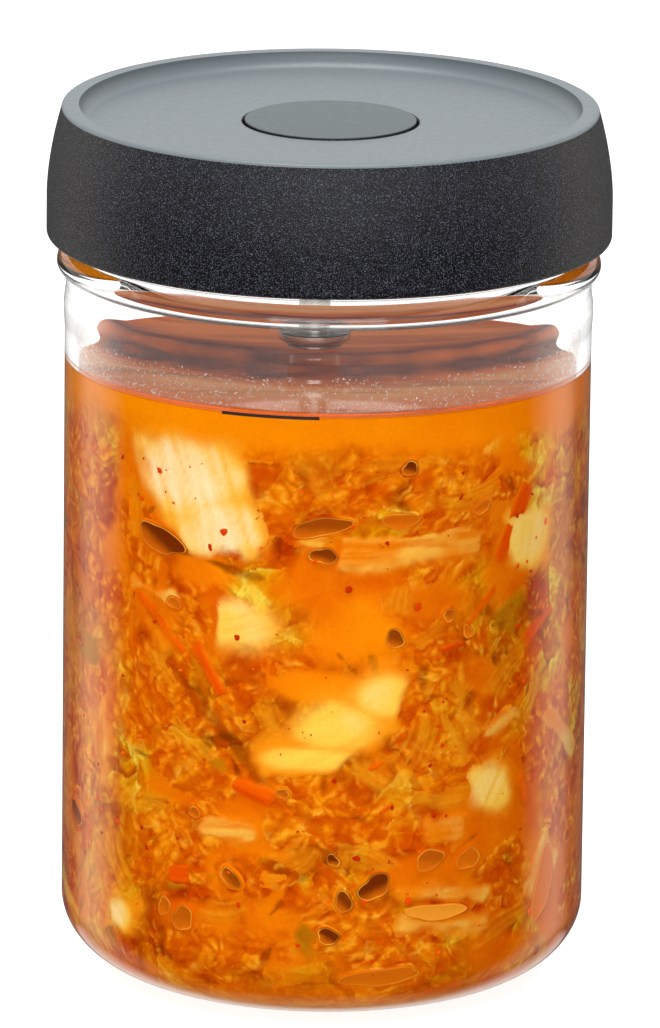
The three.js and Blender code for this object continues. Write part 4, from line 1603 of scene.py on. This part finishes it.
def make_light(name, place, width, height, watts):
    lamp = bpy.data.lights.new(name, "AREA")
    lamp.shape = "RECTANGLE"
    lamp.size = width
    lamp.size_y = height
    lamp.energy = watts
    light = bpy.data.objects.new(name, lamp)
    light.location = place
    light.rotation_euler = (Vector(LIGHT_TARGET) - Vector(place)).to_track_quat("-Z", "Y").to_euler()
    light.visible_camera = False
    bpy.context.scene.collection.objects.link(light)


def make_world():
    """White to the camera and above the horizon, and dark below it but for the lights behind the jar.

    Those are a tall warm band on each side and a low light at the foot. What the brine mirrors from above
    through the glass is dimmed, so that its top stays dark under the lid.
    """
    world = bpy.data.worlds.new("studio")
    bpy.context.scene.world = world
    world.use_nodes = True
    world.cycles.sampling_method = "NONE"
    sky = Nodes(world.node_tree)
    background = sky.tree.nodes["Background"]

    def eased(value, *ends):
        return sky.range(value, *ends, ease="SMOOTHSTEP")

    def both(first, second):
        return sky.worked("MULTIPLY", first, second)

    path = sky.node("ShaderNodeLightPath").outputs
    direction = sky.node("ShaderNodeTexCoord").outputs["Generated"]
    rise = sky.split(direction)["Z"]
    level = sky.moved("NORMALIZE", sky.moved("MULTIPLY", direction, (1.0, 1.0, 0.0)))
    back = sky.split(level)["Y"]
    band = both(eased(back, 0.12, 0.5), eased(back, 0.56, 0.82, 1.3, 0.12))
    band = both(band, eased(rise, -0.95, -0.33))
    foot = both(eased(back, 0.6, 0.92), eased(rise, -0.45, -0.38, 1.0, 0.0))
    foot = both(foot, eased(rise, -0.85, -0.62))
    mirrored = both(eased(path["Glossy Depth"], 0.0, 1.0), eased(path["Transmission Depth"], 2.0, 3.0))
    above = both(eased(rise, -0.02, 0.1), eased(mirrored, 0.0, 1.0, 1.0, MIRROR_SHARE))
    lit = path["Is Camera Ray"]
    for light in (above, band, foot):
        lit = sky.worked("MAXIMUM", lit, light)
    fill = eased(path["Diffuse Depth"], 0.0, 1.0, 1.0, WORLD_FILL)
    sky.feed(background.inputs["Strength"], both(lit, fill))
    sky.feed(background.inputs["Color"], sky.mixed(band, (*WHITE, 1.0), (*BAND_TINT, 1.0)))


def make_camera():
    """A long lens far off, tipped down as in the photograph and rolled a little."""
    aim = Vector(CAMERA_AIM) * MM
    pitch = math.radians(CAMERA_PITCH)
    camera = bpy.data.cameras.new("camera")
    camera.lens = CAMERA_LENS
    camera.sensor_width = SENSOR_WIDTH
    camera.clip_end = CLIP_END
    holder = bpy.data.objects.new("camera", camera)
    holder.location = aim + Vector((0.0, -math.cos(pitch), math.sin(pitch))) * CAMERA_DISTANCE
    look = (aim - holder.location).to_track_quat("-Z", "Y").to_matrix()
    roll = Matrix.Rotation(math.radians(CAMERA_ROLL), 3, "Z")
    holder.rotation_euler = (look @ roll).to_euler()
    bpy.context.scene.collection.objects.link(holder)
    bpy.context.scene.camera = holder


make_glass_jar()
make_fill_line()
make_lid()
make_button()
make_vent()
make_brine()
make_contents()
make_condensation()
make_floor()
make_world()
for light_row in LIGHTS:
    make_light(*light_row)
make_camera()

scene = bpy.context.scene
scene.view_settings.view_transform = "Standard"
scene.cycles.caustics_refractive = True
scene.cycles.caustics_reflective = False
scene.cycles.max_bounces = 16
scene.cycles.diffuse_bounces = 2
scene.cycles.glossy_bounces = 10
scene.cycles.transmission_bounces = 16
scene.cycles.transparent_max_bounces = 24
